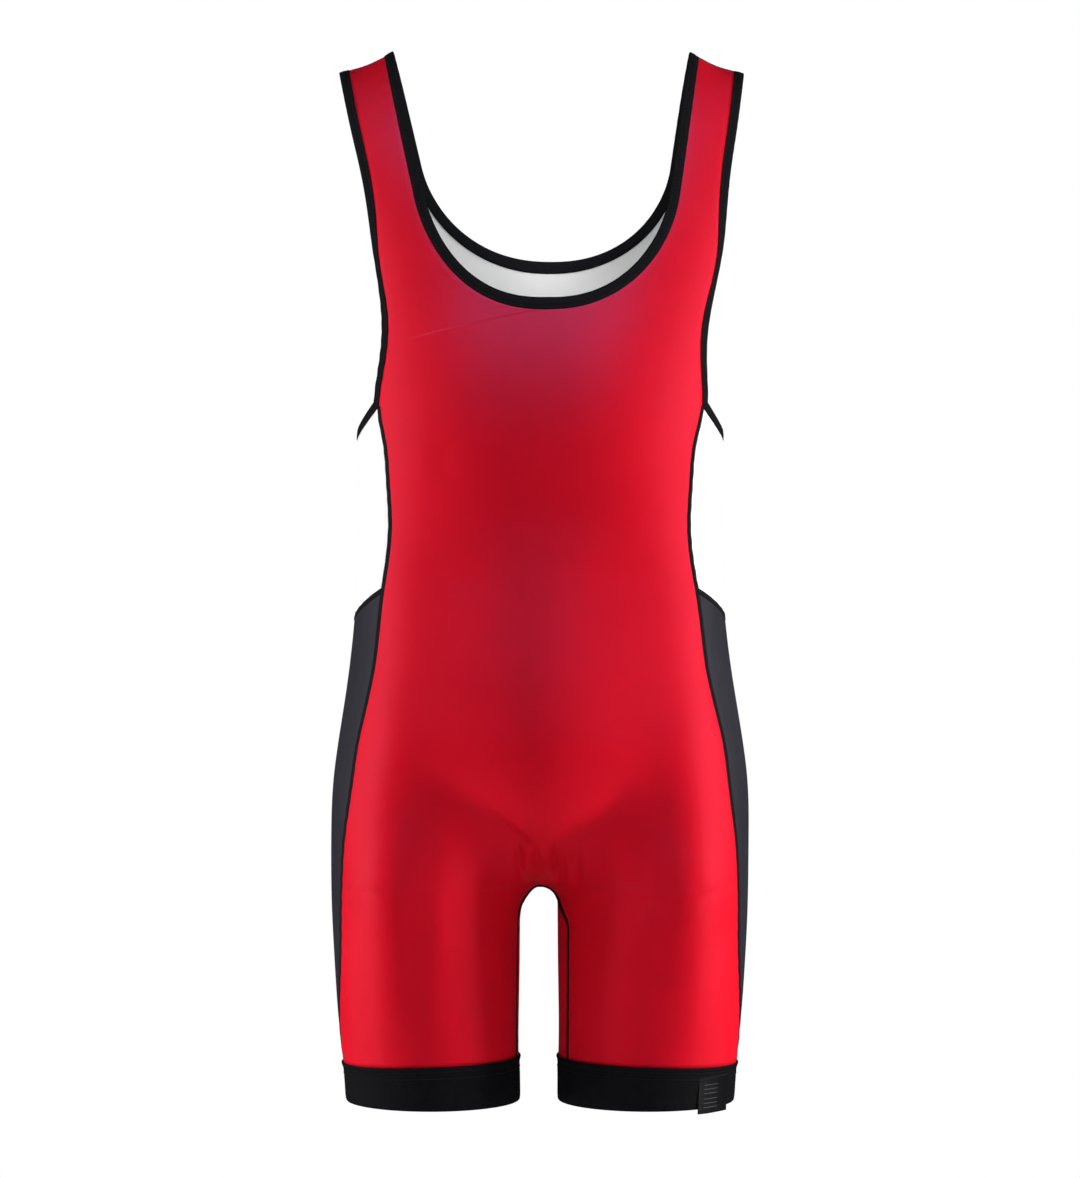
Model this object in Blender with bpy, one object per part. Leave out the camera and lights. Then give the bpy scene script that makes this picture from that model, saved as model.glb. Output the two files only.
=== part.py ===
"""Wrestling singlet, filled out as if worn, with nobody in it.

Every size below is in millimetres and the meshes are in metres. The front faces -Y, +X is at the
right of somebody who looks at the front, and +Z is up. The origin lies between the two straps, at
the height where they rest on the shoulders.

A place on the cloth is given by its share and its level. The share says how far round one half of
the body it lies: 0 at the front middle, 0.5 at the side and 1 at the back middle. On a leg, 0 and 1
are both the inside of the leg. The level is the height, and above the chest it runs on over the
shoulder, so that the front and the back meet at TOP_LEVEL.
"""
from math import pi

import bmesh
import bpy
import numpy as np

MM = 0.001

# Cloth
WALL = 1.5
SEAM_HALF_GAP = 0.2
BINDING_GAP = 0.3
BINDING_WIDTH = 8.4
BINDING_PROUD = 0.7
BINDING_DEPTH = 2.9
BINDING_EDGE_ROUND = 1.0

# Heights of the body, measured down from the shoulders
CHEST_Z = -190.0
FORK_Z = -293.0
HIP_Z = -444.0
CROTCH_Z = -690.0
BAND_TOP_Z = -839.5
HEM_Z = -871.0
TOP_LEVEL = CHEST_Z * (1 - pi / 2)

# Body sections, a row for each height: half the width, the depth in front of and behind the
# middle plane, and half the depth of one leg in front and behind.
SECTION_COLUMNS = ("height", "half_width", "front", "back", "leg_front", "leg_back")
SECTIONS = (
    (-900, 160.0, 110, 112, 73, 74),
    (-838, 165.0, 110, 112, 77, 77),
    (-790, 169.8, 110, 112, 82, 83),
    (-740, 173.0, 111, 116, 88, 90),
    (-690, 174.8, 112, 120, 94, 97),
    (-640, 174.6, 113, 123, 96, 100),
    (-600, 172.8, 113, 122, 96, 100),
    (-560, 167.8, 112, 117, 95, 98),
    (-520, 161.2, 109, 110, 94, 96),
    (-480, 156.0, 105, 104, 93, 94),
    (-440, 152.6, 102, 100, 92, 92),
    (-390, 150.4, 103, 98, 92, 92),
    (-315, 153.4, 111, 103, 92, 92),
    (-240, 156.0, 104, 107, 92, 92),
    (-190, 164.0, 93, 107, 92, 92),
    (-100, 186.0, 84, 107, 92, 92),
    (0, 205.0, 80, 107, 92, 92),
)
SQUARENESS = 2.3

# Where the body divides into two legs
CROTCH_RISE = {"front": 130.0, "back": 110.0}
HALF_LEG_GAP = {-1: 17.4, 1: 15.4}
ARCH_HEIGHT = {-1: 32.0, 1: 14.0}
LEG_ROUND_OFF = 60.0
LEG_POINT = 0.33

# The seam on the inside of each leg, turned towards the front by this share of the leg's round
INSEAM_TURN = {-1: 0.02, 1: 0.07}
INSEAM_TURN_DROP = 36.0

# Slope of the shoulders, from the neck side of a strap to its outer side
STRAP_INSIDE = 125.0
STRAP_SPAN = 46.0
SHOULDER_LIFT = 8.5
SHOULDER_DROP = 17.2
SHOULDER_HOLLOW = 1.95

# The filled garment leans a little towards +X at the neck
LEAN_COLUMNS = ("height", "lean")
LEAN = ((-700, 0.0), (-500, 0.0), (-330, 0.0), (-270, 1.6), (-215, 4.9), (-150, 6.2), (-80, 4.0), (0, 1.4))

# Outer edges of the front and the back: the side seams, and above the fork the armhole edges
EDGE_COLUMNS = ("height", "half_width")
FRONT_EDGE = (
    (0, 162.0), (-30, 157.5), (-66, 151.6), (-101, 145.5), (-140, 141.7), (-170, 139.8), (-190, 136.2),
    (-213, 131.2), (-239, 129.0), (-272, 132.0), (-293, 133.4), (-321, 128.0), (-354, 124.2), (-386, 122.2),
    (-419, 123.8), (-452, 128.5), (-501, 134.0), (-550, 144.0), (-600, 154.0), (-648, 161.0), (-697, 164.0),
    (-764, 165.4), (-800, 167.0), (-838, 165.0),
)
BACK_EDGE = (
    (0, 162.0), (-66, 150.0), (-120, 136.0), (-170, 127.0), (-220, 124.0), (-260, 127.5), (-293, 131.0),
    (-354, 124.0), (-419, 122.0), (-501, 130.0), (-600, 146.0), (-697, 154.0), (-764, 156.0), (-838, 153.0),
)

# Neck edges: a blunt scoop of this half width and depth, with sides that open outwards and a
# bottom shifted towards +X
FRONT_NECK = {"bottom": -215.4, "half": 91.0, "deep": 95.0, "flare": 0.1892, "blunt": 2.4, "shift": 0.0}
BACK_NECK = {"bottom": -168.2, "half": 99.0, "deep": 84.0, "flare": 0.194, "blunt": 2.2, "shift": 2.2}

# Seams across a side panel dip at the side: the hip seam and the armhole edge under the arm
HIP_DIP = 24.0
HIP_DIP_POWER = 1.6
ARM_DIP = 25.0
ARM_DIP_POWER = 2.4

# The armhole binding curls in towards the body, most of all beside the chest
CURL = 6.0
CURL_MORE = 20.0
CURL_Z = -178.0
CURL_SPAN = 34.0

# Leg bands, a little higher in front and behind than at the sides, with a proud top edge
BAND_RISE = 4.0
BAND_PROUD = 0.7
BAND_TOP_PROUD = 1.7
BAND_TOP_SLOPE = 6.0
BAND_HEM_ROUND = 0.9
BAND_DEPTH = 3.0
BAND_SHARES = 36

# The woven tab, sewn to the outside of the band and hanging past its hem
TAB_FROM = 0.341
TAB_TO = 0.417
TAB_TOP_Z = -844.5
TAB_BELOW_HEM = 3.4
TAB_THICK = 0.8
TAB_LIFT = 0.35
TAB_COLUMNS = 5

# Soft troughs that run from the hips towards the crotch, in front and behind
CREASE_END = 0.08
CREASE_COLUMNS = ("behind", "from_x", "from_z", "to_x", "to_z", "width", "depth")
CREASES = (
    (False, -88.0, -592.0, -6.0, -660.0, 13.0, 2.6),
    (False, 84.0, -598.0, 10.0, -663.0, 13.0, 2.2),
    (True, -96.0, -668.0, -14.0, -650.0, 14.0, 2.6),
    (True, 92.0, -671.0, 16.0, -652.0, 14.0, 2.4),
)

# How finely the walls are divided
LEG_STEPS = 8
SEAT_STEPS = 11
WAIST_STEPS = 6
CHEST_STEPS = {"front": 2, "back": 3}
SCOOP_STEPS = 9
STRAP_STEPS = 8
PANEL_COLUMNS = 9
SIDE_COLUMNS = 6
NECK_ROW_SLOPE = 30.0

# Finishes: colour, roughness, metallic
RED_KNIT = ("red knit", (0.62, 0.012, 0.035), 0.55, 0.0)
WHITE_KNIT = ("white knit", (0.86, 0.86, 0.87), 0.6, 0.0)
CHARCOAL_KNIT = ("charcoal knit", (0.03, 0.028, 0.04), 0.5, 0.0)
BLACK_BINDING = ("black binding", (0.006, 0.006, 0.008), 0.6, 0.0)
BLACK_WEBBING = ("black elastic", (0.007, 0.007, 0.009), 0.55, 0.0)
BLACK_SATIN = ("black satin", (0.012, 0.012, 0.014), 0.35, 0.0)


def curve_through(table, columns, name, at):
    """Natural cubic curve through one named column of a table whose first column is the height."""
    rows = np.array(table, float)
    rows = rows[np.argsort(rows[:, 0])]
    return curve_over(rows[:, 0], rows[:, columns.index(name)], at)


def curve_over(places, values, at):
    """Natural cubic curve through values at rising places, read at the places in at."""
    gap = np.diff(places)
    slope = np.diff(values) / gap
    matrix = np.eye(len(places))
    right = np.zeros(len(places))
    for i in range(1, len(places) - 1):
        matrix[i, i - 1:i + 2] = gap[i - 1], 2 * (gap[i - 1] + gap[i]), gap[i]
        right[i] = 6 * (slope[i] - slope[i - 1])
    bend = np.linalg.solve(matrix, right)
    at = np.clip(at, places[0], places[-1])
    i = np.clip(np.searchsorted(places, at) - 1, 0, len(gap) - 1)
    done = at - places[i]
    left = places[i + 1] - at
    curved = (bend[i] * left ** 3 + bend[i + 1] * done ** 3) / (6 * gap[i])
    from_below = (values[i] / gap[i] - bend[i] * gap[i] / 6) * left
    from_above = (values[i + 1] / gap[i] - bend[i + 1] * gap[i] / 6) * done
    return curved + from_below + from_above


def height_at(level):
    """Height of a level: the same below the chest, and a quarter turn over the shoulder above it."""
    over = np.maximum(level - CHEST_Z, 0) / -CHEST_Z
    return np.where(level < CHEST_Z, level, CHEST_Z * (1 - np.sin(over)))


def level_at(height):
    """Level on the front or back of a height."""
    turn = np.arcsin(np.clip(1 - height / CHEST_Z, 0, 1))
    return np.where(height < CHEST_Z, height, CHEST_Z * (1 - turn))


def section(name, height):
    return curve_through(SECTIONS, SECTION_COLUMNS, name, height)


def leg_gap(side, height):
    """Half the space between the legs, which opens as a round arch below the crotch."""
    down = np.clip((CROTCH_Z - height) / ARCH_HEIGHT[side], 0, 1)
    return HALF_LEG_GAP[side] * np.sqrt(1 - (1 - down) ** 2)


def smooth_half(side, share, level):
    """Half the body without creases or lean: x away from the middle, y and z.

    Above the crotch a blunt oval passes smoothly into two leg ovals that touch in the middle, and
    below it the leg ovals draw apart. Over the shoulder the oval's depth falls to nothing.
    """
    share, level = np.broadcast_arrays(np.asarray(share, float), np.asarray(level, float))
    over = np.maximum(level - CHEST_Z, 0) / -CHEST_Z
    height = height_at(level)
    on_leg = height < CROTCH_Z
    front = np.where(on_leg, share % 1 < 0.5, share < 0.5)
    wide = section("half_width", height)
    deep = np.where(front, section("front", height), section("back", height)) * np.cos(over)
    leg = np.where(front, section("leg_front", height), section("leg_back", height))
    sine = np.sin(pi * share)
    cosine = np.cos(pi * share)
    blunt = (np.abs(sine) ** SQUARENESS + np.abs(cosine) ** SQUARENESS) ** (-1 / SQUARENESS)
    rise = np.where(front, CROTCH_RISE["front"], CROTCH_RISE["back"])
    joined = 1 - (1 - np.clip((height - CROTCH_Z) / rise, 0, 1)) ** 2
    leg_x = wide * ((1 - LEG_POINT) * sine * np.abs(sine) + LEG_POINT * sine)
    x_body = leg_x + joined * (wide * blunt * sine - leg_x)
    y_body = -cosine * np.sqrt(joined * (deep * blunt) ** 2 + (1 - joined) * (2 * leg * sine) ** 2)
    y_body = np.where(over > pi / 2, -y_body, y_body)
    gap = leg_gap(side, height)
    ease = np.clip((CROTCH_Z - height) / LEG_ROUND_OFF, 0, 1)
    ease = ease * ease * (3 - 2 * ease)
    parting = np.sqrt(gap ** 2 + leg_x ** 2 * (1 - (gap / wide) ** 2))
    x_leg = (1 - ease) * parting + ease * (gap + (wide - gap) * sine ** 2)
    y_leg = -2 * leg * sine * cosine
    x = np.where(on_leg, x_leg, x_body)
    y = np.where(on_leg, y_leg, y_body)
    out = np.clip((np.abs(x) - STRAP_INSIDE) / STRAP_SPAN, -0.5, 1.2)
    drop = np.where(out > 0, 1 - np.maximum(1 - out, 0) ** SHOULDER_HOLLOW, SHOULDER_HOLLOW * out)
    fade = np.maximum(1 - height / CHEST_Z, 0) ** 3
    z = height + (SHOULDER_LIFT - SHOULDER_DROP * drop) * fade
    return x, y, z


def smooth_point(side, share, level):
    """Point of the body without creases."""
    x, y, z = smooth_half(side, share, level)
    lean = curve_through(LEAN, LEAN_COLUMNS, "lean", height_at(level))
    return np.stack(np.broadcast_arrays(side * x + lean, y, z), axis=-1)


def face_out(side, share, level):
    """Direction that faces out of the body, from small steps along the share and the level."""
    step = 0.001
    rise = 0.2
    across = smooth_point(side, share + step, level) - smooth_point(side, share - step, level)
    up = smooth_point(side, share, level + rise) - smooth_point(side, share, level - rise)
    out = np.cross(across, up) * side
    return out / np.linalg.norm(out, axis=-1, keepdims=True)


def crease_depth(side, share, level):
    """How far the soft troughs lower the cloth: a bell across each one, easing out at its ends."""
    x, y, z = smooth_half(side, share, level)
    x = side * x
    depth = np.zeros(x.shape)
    for row in CREASES:
        crease = dict(zip(CREASE_COLUMNS, row))
        run = np.array([crease["to_x"] - crease["from_x"], crease["to_z"] - crease["from_z"]])
        along = ((x - crease["from_x"]) * run[0] + (z - crease["from_z"]) * run[1]) / (run @ run)
        away_x = x - crease["from_x"] - np.clip(along, 0, 1) * run[0]
        away_z = z - crease["from_z"] - np.clip(along, 0, 1) * run[1]
        bell = np.exp(-(away_x ** 2 + away_z ** 2) / crease["width"] ** 2)
        ease = np.sin(pi * np.clip(along, CREASE_END, 1 - CREASE_END))
        depth += np.where((y > 0) == crease["behind"], crease["depth"] * bell * ease, 0)
    return depth


def cloth(side, share, level, out=0.0):
    """Point of the cloth's outer face, moved out of the body by a distance, inwards if negative."""
    face = face_out(side, share, level)
    away = out - crease_depth(side, share, level)
    return smooth_point(side, share, level) + face * away[..., None]


def share_of_width(half_width, level, behind):
    """Share at which the body has a half width, found by halving."""
    low = np.full(np.shape(half_width + level), 0.5 if behind else 0.0)
    high = low + 0.5
    for _ in range(36):
        middle = (low + high) / 2
        short = smooth_half(1, middle, level)[0] < half_width
        rising = short != behind
        low = np.where(rising, middle, low)
        high = np.where(rising, high, middle)
    return (low + high) / 2


def edge_share(level, behind):
    """Share of the outer edge of the front, or of the back, at a level."""
    table = np.array(BACK_EDGE if behind else FRONT_EDGE, float)[::-1]
    levels = level_at(table[:, 0])
    shares = share_of_width(table[:, EDGE_COLUMNS.index("half_width")], levels, behind)
    return curve_over(levels, shares, level)


def neck_share(side, level, behind):
    """Share of the neck edge at a level above the bottom of its scoop."""
    neck = BACK_NECK if behind else FRONT_NECK
    height = height_at(level)
    up = height - neck["bottom"]
    down = 1 - np.clip(up / neck["deep"], 0, 1)
    half_width = neck["half"] * (1 - down ** 2) ** (1 / neck["blunt"]) + neck["flare"] * up
    half_width += side * neck["shift"] * height / neck["bottom"]
    return share_of_width(half_width, level, behind)


def inseam_share(side, level):
    """How far the seam inside the leg lies towards the front."""
    down = np.clip((CROTCH_Z - level) / INSEAM_TURN_DROP, 0, 1)
    return INSEAM_TURN[side] * down * down * (3 - 2 * down)


def band_top(share):
    return BAND_TOP_Z + BAND_RISE * np.sin(2 * pi * share) ** 2


def seam_levels():
    """Levels of the rows from the leg band to the fork under the arm, closer together at the crotch."""
    leg = CROTCH_Z - (CROTCH_Z - BAND_TOP_Z) * np.linspace(1, 0, LEG_STEPS + 1) ** 2
    seat = CROTCH_Z + (HIP_Z - CROTCH_Z) * np.linspace(0, 1, SEAT_STEPS + 1) ** 1.5
    waist = np.linspace(HIP_Z, FORK_Z, WAIST_STEPS + 1)
    return np.concatenate([leg, seat[1:], waist[1:]])


def panel_rows(behind):
    """Levels of a main panel's rows at its inner and outer edge, and the row of the neck's bottom."""
    neck = BACK_NECK if behind else FRONT_NECK
    steps = CHEST_STEPS["back" if behind else "front"]
    seams = seam_levels()
    neck_level = level_at(neck["bottom"])
    scoop_top = level_at(neck["bottom"] + neck["deep"])
    turn = np.linspace(0, pi / 2, SCOOP_STEPS + 1)[1:]
    scoop_in = level_at(neck["bottom"] + neck["deep"] * (1 - np.cos(turn)))
    inner = np.concatenate([
        seams,
        np.linspace(FORK_Z, neck_level, steps + 1)[1:],
        scoop_in,
        np.linspace(scoop_top, TOP_LEVEL, STRAP_STEPS + 1)[1:],
    ])
    outer = np.concatenate([
        seams,
        np.linspace(FORK_Z, neck_level - NECK_ROW_SLOPE, steps + 1)[1:],
        np.linspace(neck_level - NECK_ROW_SLOPE, scoop_top - NECK_ROW_SLOPE, SCOOP_STEPS + 1)[1:],
        np.linspace(scoop_top - NECK_ROW_SLOPE, TOP_LEVEL, STRAP_STEPS + 1)[1:],
    ])
    return inner, outer, len(seams) - 1 + steps


def panel_grid(side, behind):
    """Shares and levels of half a main panel, and its row at the bottom of the neck."""
    inner, outer, neck_row = panel_rows(behind)
    middle = 1.0 if behind else 0.0
    share_in = middle + np.where(inner < CROTCH_Z, inseam_share(side, inner), 0)
    share_in[neck_row + 1:] = neck_share(side, inner[neck_row + 1:], behind)
    share_out = edge_share(outer, behind)
    part = np.linspace(0, 1, PANEL_COLUMNS + 1)
    share = share_in[:, None] + (share_out - share_in)[:, None] * part
    level = inner[:, None] + (outer - inner)[:, None] * part
    return share, meet_band(share, level), neck_row


def meet_band(share, level):
    """Moves the rows of the leg so that the lowest one follows the band's top edge."""
    down = np.clip((CROTCH_Z - level) / (CROTCH_Z - BAND_TOP_Z), 0, 1)
    return level + (band_top(share) - BAND_TOP_Z) * down


def side_grid(lower):
    """Shares and levels of a side panel, from the front seam to the back seam."""
    seams = seam_levels()
    hip_row = LEG_STEPS + SEAT_STEPS
    base = seams[:hip_row + 1] if lower else seams[hip_row:]
    front = edge_share(base, False)
    back = edge_share(base, True)
    part = np.linspace(0, 1, SIDE_COLUMNS + 1)
    share = front[:, None] + (back - front)[:, None] * part
    hip_dip = HIP_DIP * (1 - np.abs(2 * part - 1) ** HIP_DIP_POWER)
    arm_dip = ARM_DIP * (1 - np.abs(2 * part - 1) ** ARM_DIP_POWER)
    up = (base - base[0]) / (base[-1] - base[0])
    if lower:
        dip = hip_dip * up[:, None] ** 3
    else:
        dip = hip_dip * (1 - up[:, None]) + arm_dip * up[:, None]
    level = base[:, None] - dip
    return share, meet_band(share, level) if lower else level


def wall_sheets(side, share, level):
    """Outer and inner points of a wall."""
    return cloth(side, share, level), cloth(side, share, level, -WALL)


def draw_in(sheets, edge, within):
    """Draws one edge of both sheets towards the points just within it by half a seam's gap."""
    for points in sheets:
        run = points[within] - points[edge]
        run /= np.linalg.norm(run, axis=-1, keepdims=True)
        points[edge] += run * SEAM_HALF_GAP


def add_wall(mesh, sheets, open_rows=None):
    """Adds a wall's two faces and its rim to a bmesh, leaving the rim open on column 0 in open_rows."""
    made = [[[mesh.verts.new(point * MM) for point in row] for row in points] for points in sheets]
    outer, inner = made
    rows, columns = len(outer) - 1, len(outer[0]) - 1
    for r in range(rows):
        for c in range(columns):
            for sheet in made:
                mesh.faces.new((sheet[r][c], sheet[r][c + 1], sheet[r + 1][c + 1], sheet[r + 1][c]))
    rim = [((r, columns), (r + 1, columns)) for r in range(rows)]
    rim += [((0, c), (0, c + 1)) for c in range(columns)]
    rim += [((rows, c), (rows, c + 1)) for c in range(columns)]
    rim += [((r, 0), (r + 1, 0)) for r in range(rows) if open_rows is None or r not in open_rows]
    for (r0, c0), (r1, c1) in rim:
        mesh.faces.new((outer[r0][c0], outer[r1][c1], inner[r1][c1], inner[r0][c0]))


def finish_mesh(name, mesh):
    """Closes a bmesh into a named object whose faces point out."""
    bmesh.ops.remove_doubles(mesh, verts=mesh.verts, dist=0.000002)
    bmesh.ops.triangulate(mesh, faces=mesh.faces)
    bmesh.ops.recalc_face_normals(mesh, faces=mesh.faces)
    data = bpy.data.meshes.new(name)
    mesh.to_mesh(data)
    mesh.free()
    data.shade_smooth()
    data.set_sharp_from_angle(angle=0.7)
    return bpy.data.objects.new(name, data)


def main_panel(name, behind):
    """The front or the back: two halves that meet in the middle between the crotch and the neck."""
    mesh = bmesh.new()
    for side in (-1, 1):
        share, level, neck_row = panel_grid(side, behind)
        sheets = wall_sheets(side, share, level)
        seam_rows = LEG_STEPS + SEAT_STEPS + WAIST_STEPS + 1
        draw_in(sheets, np.s_[:seam_rows, -1], np.s_[:seam_rows, -2])
        draw_in(sheets, np.s_[:LEG_STEPS, 0], np.s_[:LEG_STEPS, 1])
        draw_in(sheets, np.s_[0], np.s_[1])
        draw_in(sheets, np.s_[-1], np.s_[-2])
        for points in sheets:
            points[LEG_STEPS, 0, 1] += SEAM_HALF_GAP if behind else -SEAM_HALF_GAP
        add_wall(mesh, sheets, open_rows=range(LEG_STEPS, neck_row))
    return finish_mesh(name, mesh)


def side_panel(name, side, lower):
    """The black lower or the white upper panel of one side."""
    mesh = bmesh.new()
    share, level = side_grid(lower)
    sheets = wall_sheets(side, share, level)
    draw_in(sheets, np.s_[:, 0], np.s_[:, 1])
    draw_in(sheets, np.s_[:, -1], np.s_[:, -2])
    draw_in(sheets, np.s_[0], np.s_[1])
    if lower:
        draw_in(sheets, np.s_[-1], np.s_[-2])
    add_wall(mesh, sheets)
    return finish_mesh(name, mesh)


def binding_profile():
    """Section of a folded binding: distance from the edge of the cloth, and height over its face."""
    near = BINDING_GAP
    far = BINDING_GAP + BINDING_WIDTH
    top = BINDING_PROUD
    bottom = BINDING_PROUD - BINDING_DEPTH
    turn = BINDING_EDGE_ROUND
    return ((near, top), (far - turn, top), (far, top - turn), (far, bottom + turn), (far - turn, bottom),
            (near, bottom))


def edge_curl(height):
    """Angle by which an armhole's binding curls in."""
    bell = np.exp(-((height - CURL_Z) / CURL_SPAN) ** 2)
    return np.radians(CURL + CURL_MORE * bell)


def closed_strip(name, edge, inside, out, curl):
    """Carries the binding's section round a closed edge, away from the points just inside it.

    The side next to the cloth stays square to it, and the rest bends inwards by the angle curl.
    """
    ahead = np.roll(edge, -1, axis=0) - edge
    behind = edge - np.roll(edge, 1, axis=0)
    ahead /= np.linalg.norm(ahead, axis=1, keepdims=True)
    behind /= np.linalg.norm(behind, axis=1, keepdims=True)
    away = np.cross(out, ahead + behind)
    away *= np.sign(np.sum(away * (edge - inside), axis=1))[:, None]
    away /= np.linalg.norm(away, axis=1, keepdims=True)
    mesh = bmesh.new()
    rings = []
    for across, over in binding_profile():
        bend = (curl if across > BINDING_GAP else 0 * curl)[:, None]
        middle = BINDING_PROUD - BINDING_DEPTH / 2
        reach = across * np.cos(bend) + (over - middle) * np.sin(bend)
        height = middle + (over - middle) * np.cos(bend) - across * np.sin(bend)
        rings.append([mesh.verts.new(point * MM) for point in edge + away * reach + out * height])
    for ring, following in zip(rings, rings[1:] + rings[:1]):
        for i in range(len(edge)):
            j = (i + 1) % len(edge)
            mesh.faces.new((ring[i], ring[j], following[j], following[i]))
    return finish_mesh(name, mesh)


def edge_points(side, share, level):
    """Points on an edge, points just inside it, and the directions out of the body there."""
    return (cloth(side, share[:, 0], level[:, 0]), cloth(side, share[:, 1], level[:, 1]),
            face_out(side, share[:, 0], level[:, 0]))


def neck_half(side):
    """Neck edge of one side, from the front middle over the shoulder to the back middle."""
    front_share, front_level, front_row = panel_grid(side, False)
    back_share, back_level, back_row = panel_grid(side, True)
    front = edge_points(side, front_share[front_row:, :2], front_level[front_row:, :2])
    back = edge_points(side, back_share[back_row:, :2], back_level[back_row:, :2])
    return [np.concatenate([f, b[-2::-1]]) for f, b in zip(front, back)]


def neck_binding():
    right = neck_half(1)
    left = neck_half(-1)
    edge, inside, out = [np.concatenate([r, l[-2:0:-1]]) for r, l in zip(right, left)]
    for middle in (0, len(right[0]) - 1):
        inside[middle] = edge[middle] - (0, 0, BINDING_WIDTH)
    return closed_strip("neck_binding", edge, inside, out, np.zeros(len(edge)))


def armhole_binding(name, side):
    """From the shoulder down the front, under the arm and up the back."""
    fork_row = LEG_STEPS + SEAT_STEPS + WAIST_STEPS
    halves = []
    for behind in (False, True):
        share, level, _ = panel_grid(side, behind)
        halves.append(edge_points(side, share[fork_row:, :-3:-1], level[fork_row:, :-3:-1]))
    share, level = side_grid(False)
    under = edge_points(side, share[:-3:-1, 1:-1].T, level[:-3:-1, 1:-1].T)
    edge, inside, out = [np.concatenate([f[::-1], u, b[:-1]]) for f, u, b in zip(halves[0], under, halves[1])]
    return closed_strip(name, edge, inside, out, edge_curl(edge[:, 2]))


def leg_band(name, side):
    """The elastic band: its section carried round the leg."""
    share = np.arange(BAND_SHARES) / BAND_SHARES
    top = band_top(share) - SEAM_HALF_GAP
    profile = (
        (BAND_TOP_PROUD, top),
        (BAND_PROUD, top - BAND_TOP_SLOPE),
        (BAND_PROUD, np.full(BAND_SHARES, HEM_Z + BAND_HEM_ROUND)),
        (BAND_PROUD - BAND_HEM_ROUND, np.full(BAND_SHARES, HEM_Z)),
        (BAND_PROUD - BAND_DEPTH, np.full(BAND_SHARES, HEM_Z)),
        (BAND_PROUD - BAND_DEPTH, top),
    )
    mesh = bmesh.new()
    rings = [[mesh.verts.new(point * MM) for point in cloth(side, share, level, out)]
             for out, level in profile]
    for ring, following in zip(rings, rings[1:] + rings[:1]):
        for i in range(BAND_SHARES):
            j = (i + 1) % BAND_SHARES
            mesh.faces.new((ring[i], ring[j], following[j], following[i]))
    return finish_mesh(name, mesh)


def care_label():
    """A small woven tab that follows the round of the band."""
    share = np.linspace(TAB_FROM, TAB_TO, TAB_COLUMNS + 1)
    level = np.array((HEM_Z - TAB_BELOW_HEM, HEM_Z, TAB_TOP_Z))
    share, level = np.meshgrid(share, level)
    foot = BAND_PROUD + TAB_LIFT
    sheets = (cloth(1, share, level, foot + TAB_THICK), cloth(1, share, level, foot))
    mesh = bmesh.new()
    add_wall(mesh, sheets)
    return finish_mesh("care_label", mesh)


def finish_material(piece, name, colour, roughness, metallic):
    """Gives a piece its own Principled material."""
    material = bpy.data.materials.new(f"{piece.name} {name}")
    material.use_nodes = True
    shader = material.node_tree.nodes["Principled BSDF"]
    shader.inputs["Base Color"].default_value = (*colour, 1.0)
    shader.inputs["Roughness"].default_value = roughness
    shader.inputs["Metallic"].default_value = metallic
    piece.data.materials.append(material)


def build():
    for old in list(bpy.data.objects):
        bpy.data.objects.remove(old, do_unlink=True)
    garment = bpy.data.collections.new("wrestling_singlet")
    bpy.context.scene.collection.children.link(garment)
    pieces = [
        (main_panel("front_panel", False), RED_KNIT),
        (main_panel("back_panel", True), RED_KNIT),
        (neck_binding(), BLACK_BINDING),
        (care_label(), BLACK_SATIN),
    ]
    for side, word in ((-1, "left"), (1, "right")):
        pieces += [
            (side_panel(f"side_panel_upper_{word}", side, False), WHITE_KNIT),
            (side_panel(f"side_panel_lower_{word}", side, True), CHARCOAL_KNIT),
            (armhole_binding(f"armhole_binding_{word}", side), BLACK_BINDING),
            (leg_band(f"leg_band_{word}", side), BLACK_WEBBING),
        ]
    for piece, finish in pieces:
        garment.objects.link(piece)
        finish_material(piece, *finish)


build()
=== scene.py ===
"""Wrestling singlet, filled out as if worn, with nobody in it.

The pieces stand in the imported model's frame. The front faces -Y, +X is at the right of somebody who
looks at the front, and the straps rest on the shoulders at z = 0. Lengths in the sections below are
in millimetres and MM turns them into metres, except where a comment says that they are in metres.
"""
from math import pi

import bmesh
import bpy
import numpy as np
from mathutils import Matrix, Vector


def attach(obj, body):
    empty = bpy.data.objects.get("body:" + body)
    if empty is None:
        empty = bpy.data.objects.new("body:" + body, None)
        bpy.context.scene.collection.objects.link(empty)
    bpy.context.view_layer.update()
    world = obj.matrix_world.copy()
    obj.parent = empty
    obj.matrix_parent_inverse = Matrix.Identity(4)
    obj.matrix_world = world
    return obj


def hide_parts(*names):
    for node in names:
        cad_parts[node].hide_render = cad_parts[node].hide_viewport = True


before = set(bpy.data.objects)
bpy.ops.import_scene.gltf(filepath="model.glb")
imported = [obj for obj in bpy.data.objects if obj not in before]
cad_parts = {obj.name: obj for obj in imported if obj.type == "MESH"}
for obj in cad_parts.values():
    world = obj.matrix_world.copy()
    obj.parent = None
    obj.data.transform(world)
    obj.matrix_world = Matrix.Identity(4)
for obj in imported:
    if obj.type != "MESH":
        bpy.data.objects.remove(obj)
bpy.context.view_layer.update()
MM = 0.001


# Studio. The garment is seen from straight in front on a pure white ground, which the cloth doesn't
# mirror. Tall soft boxes at its sides leave its middle darker, and a pale floor lies where a wearer
# would stand. Sizes in this section are in metres.

EYE = (0.0, -2.9, -0.443)
SEEN_HEIGHT = 0.9895
SENSOR_MM = 36.0
WHITE = (1.0, 1.0, 1.0, 1.0)
GROUND_LIGHT = 0.1
MERGE_WITHIN = 0.000002

scene = bpy.context.scene
scene.view_settings.view_transform = "Standard"

lens = bpy.data.cameras.new("camera")
lens.sensor_width = SENSOR_MM
lens.lens = SENSOR_MM * -EYE[1] / SEEN_HEIGHT
camera = bpy.data.objects.new("camera", lens)
camera.location = EYE
camera.rotation_euler = (pi / 2, 0, 0)
scene.collection.objects.link(camera)
scene.camera = camera


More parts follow.
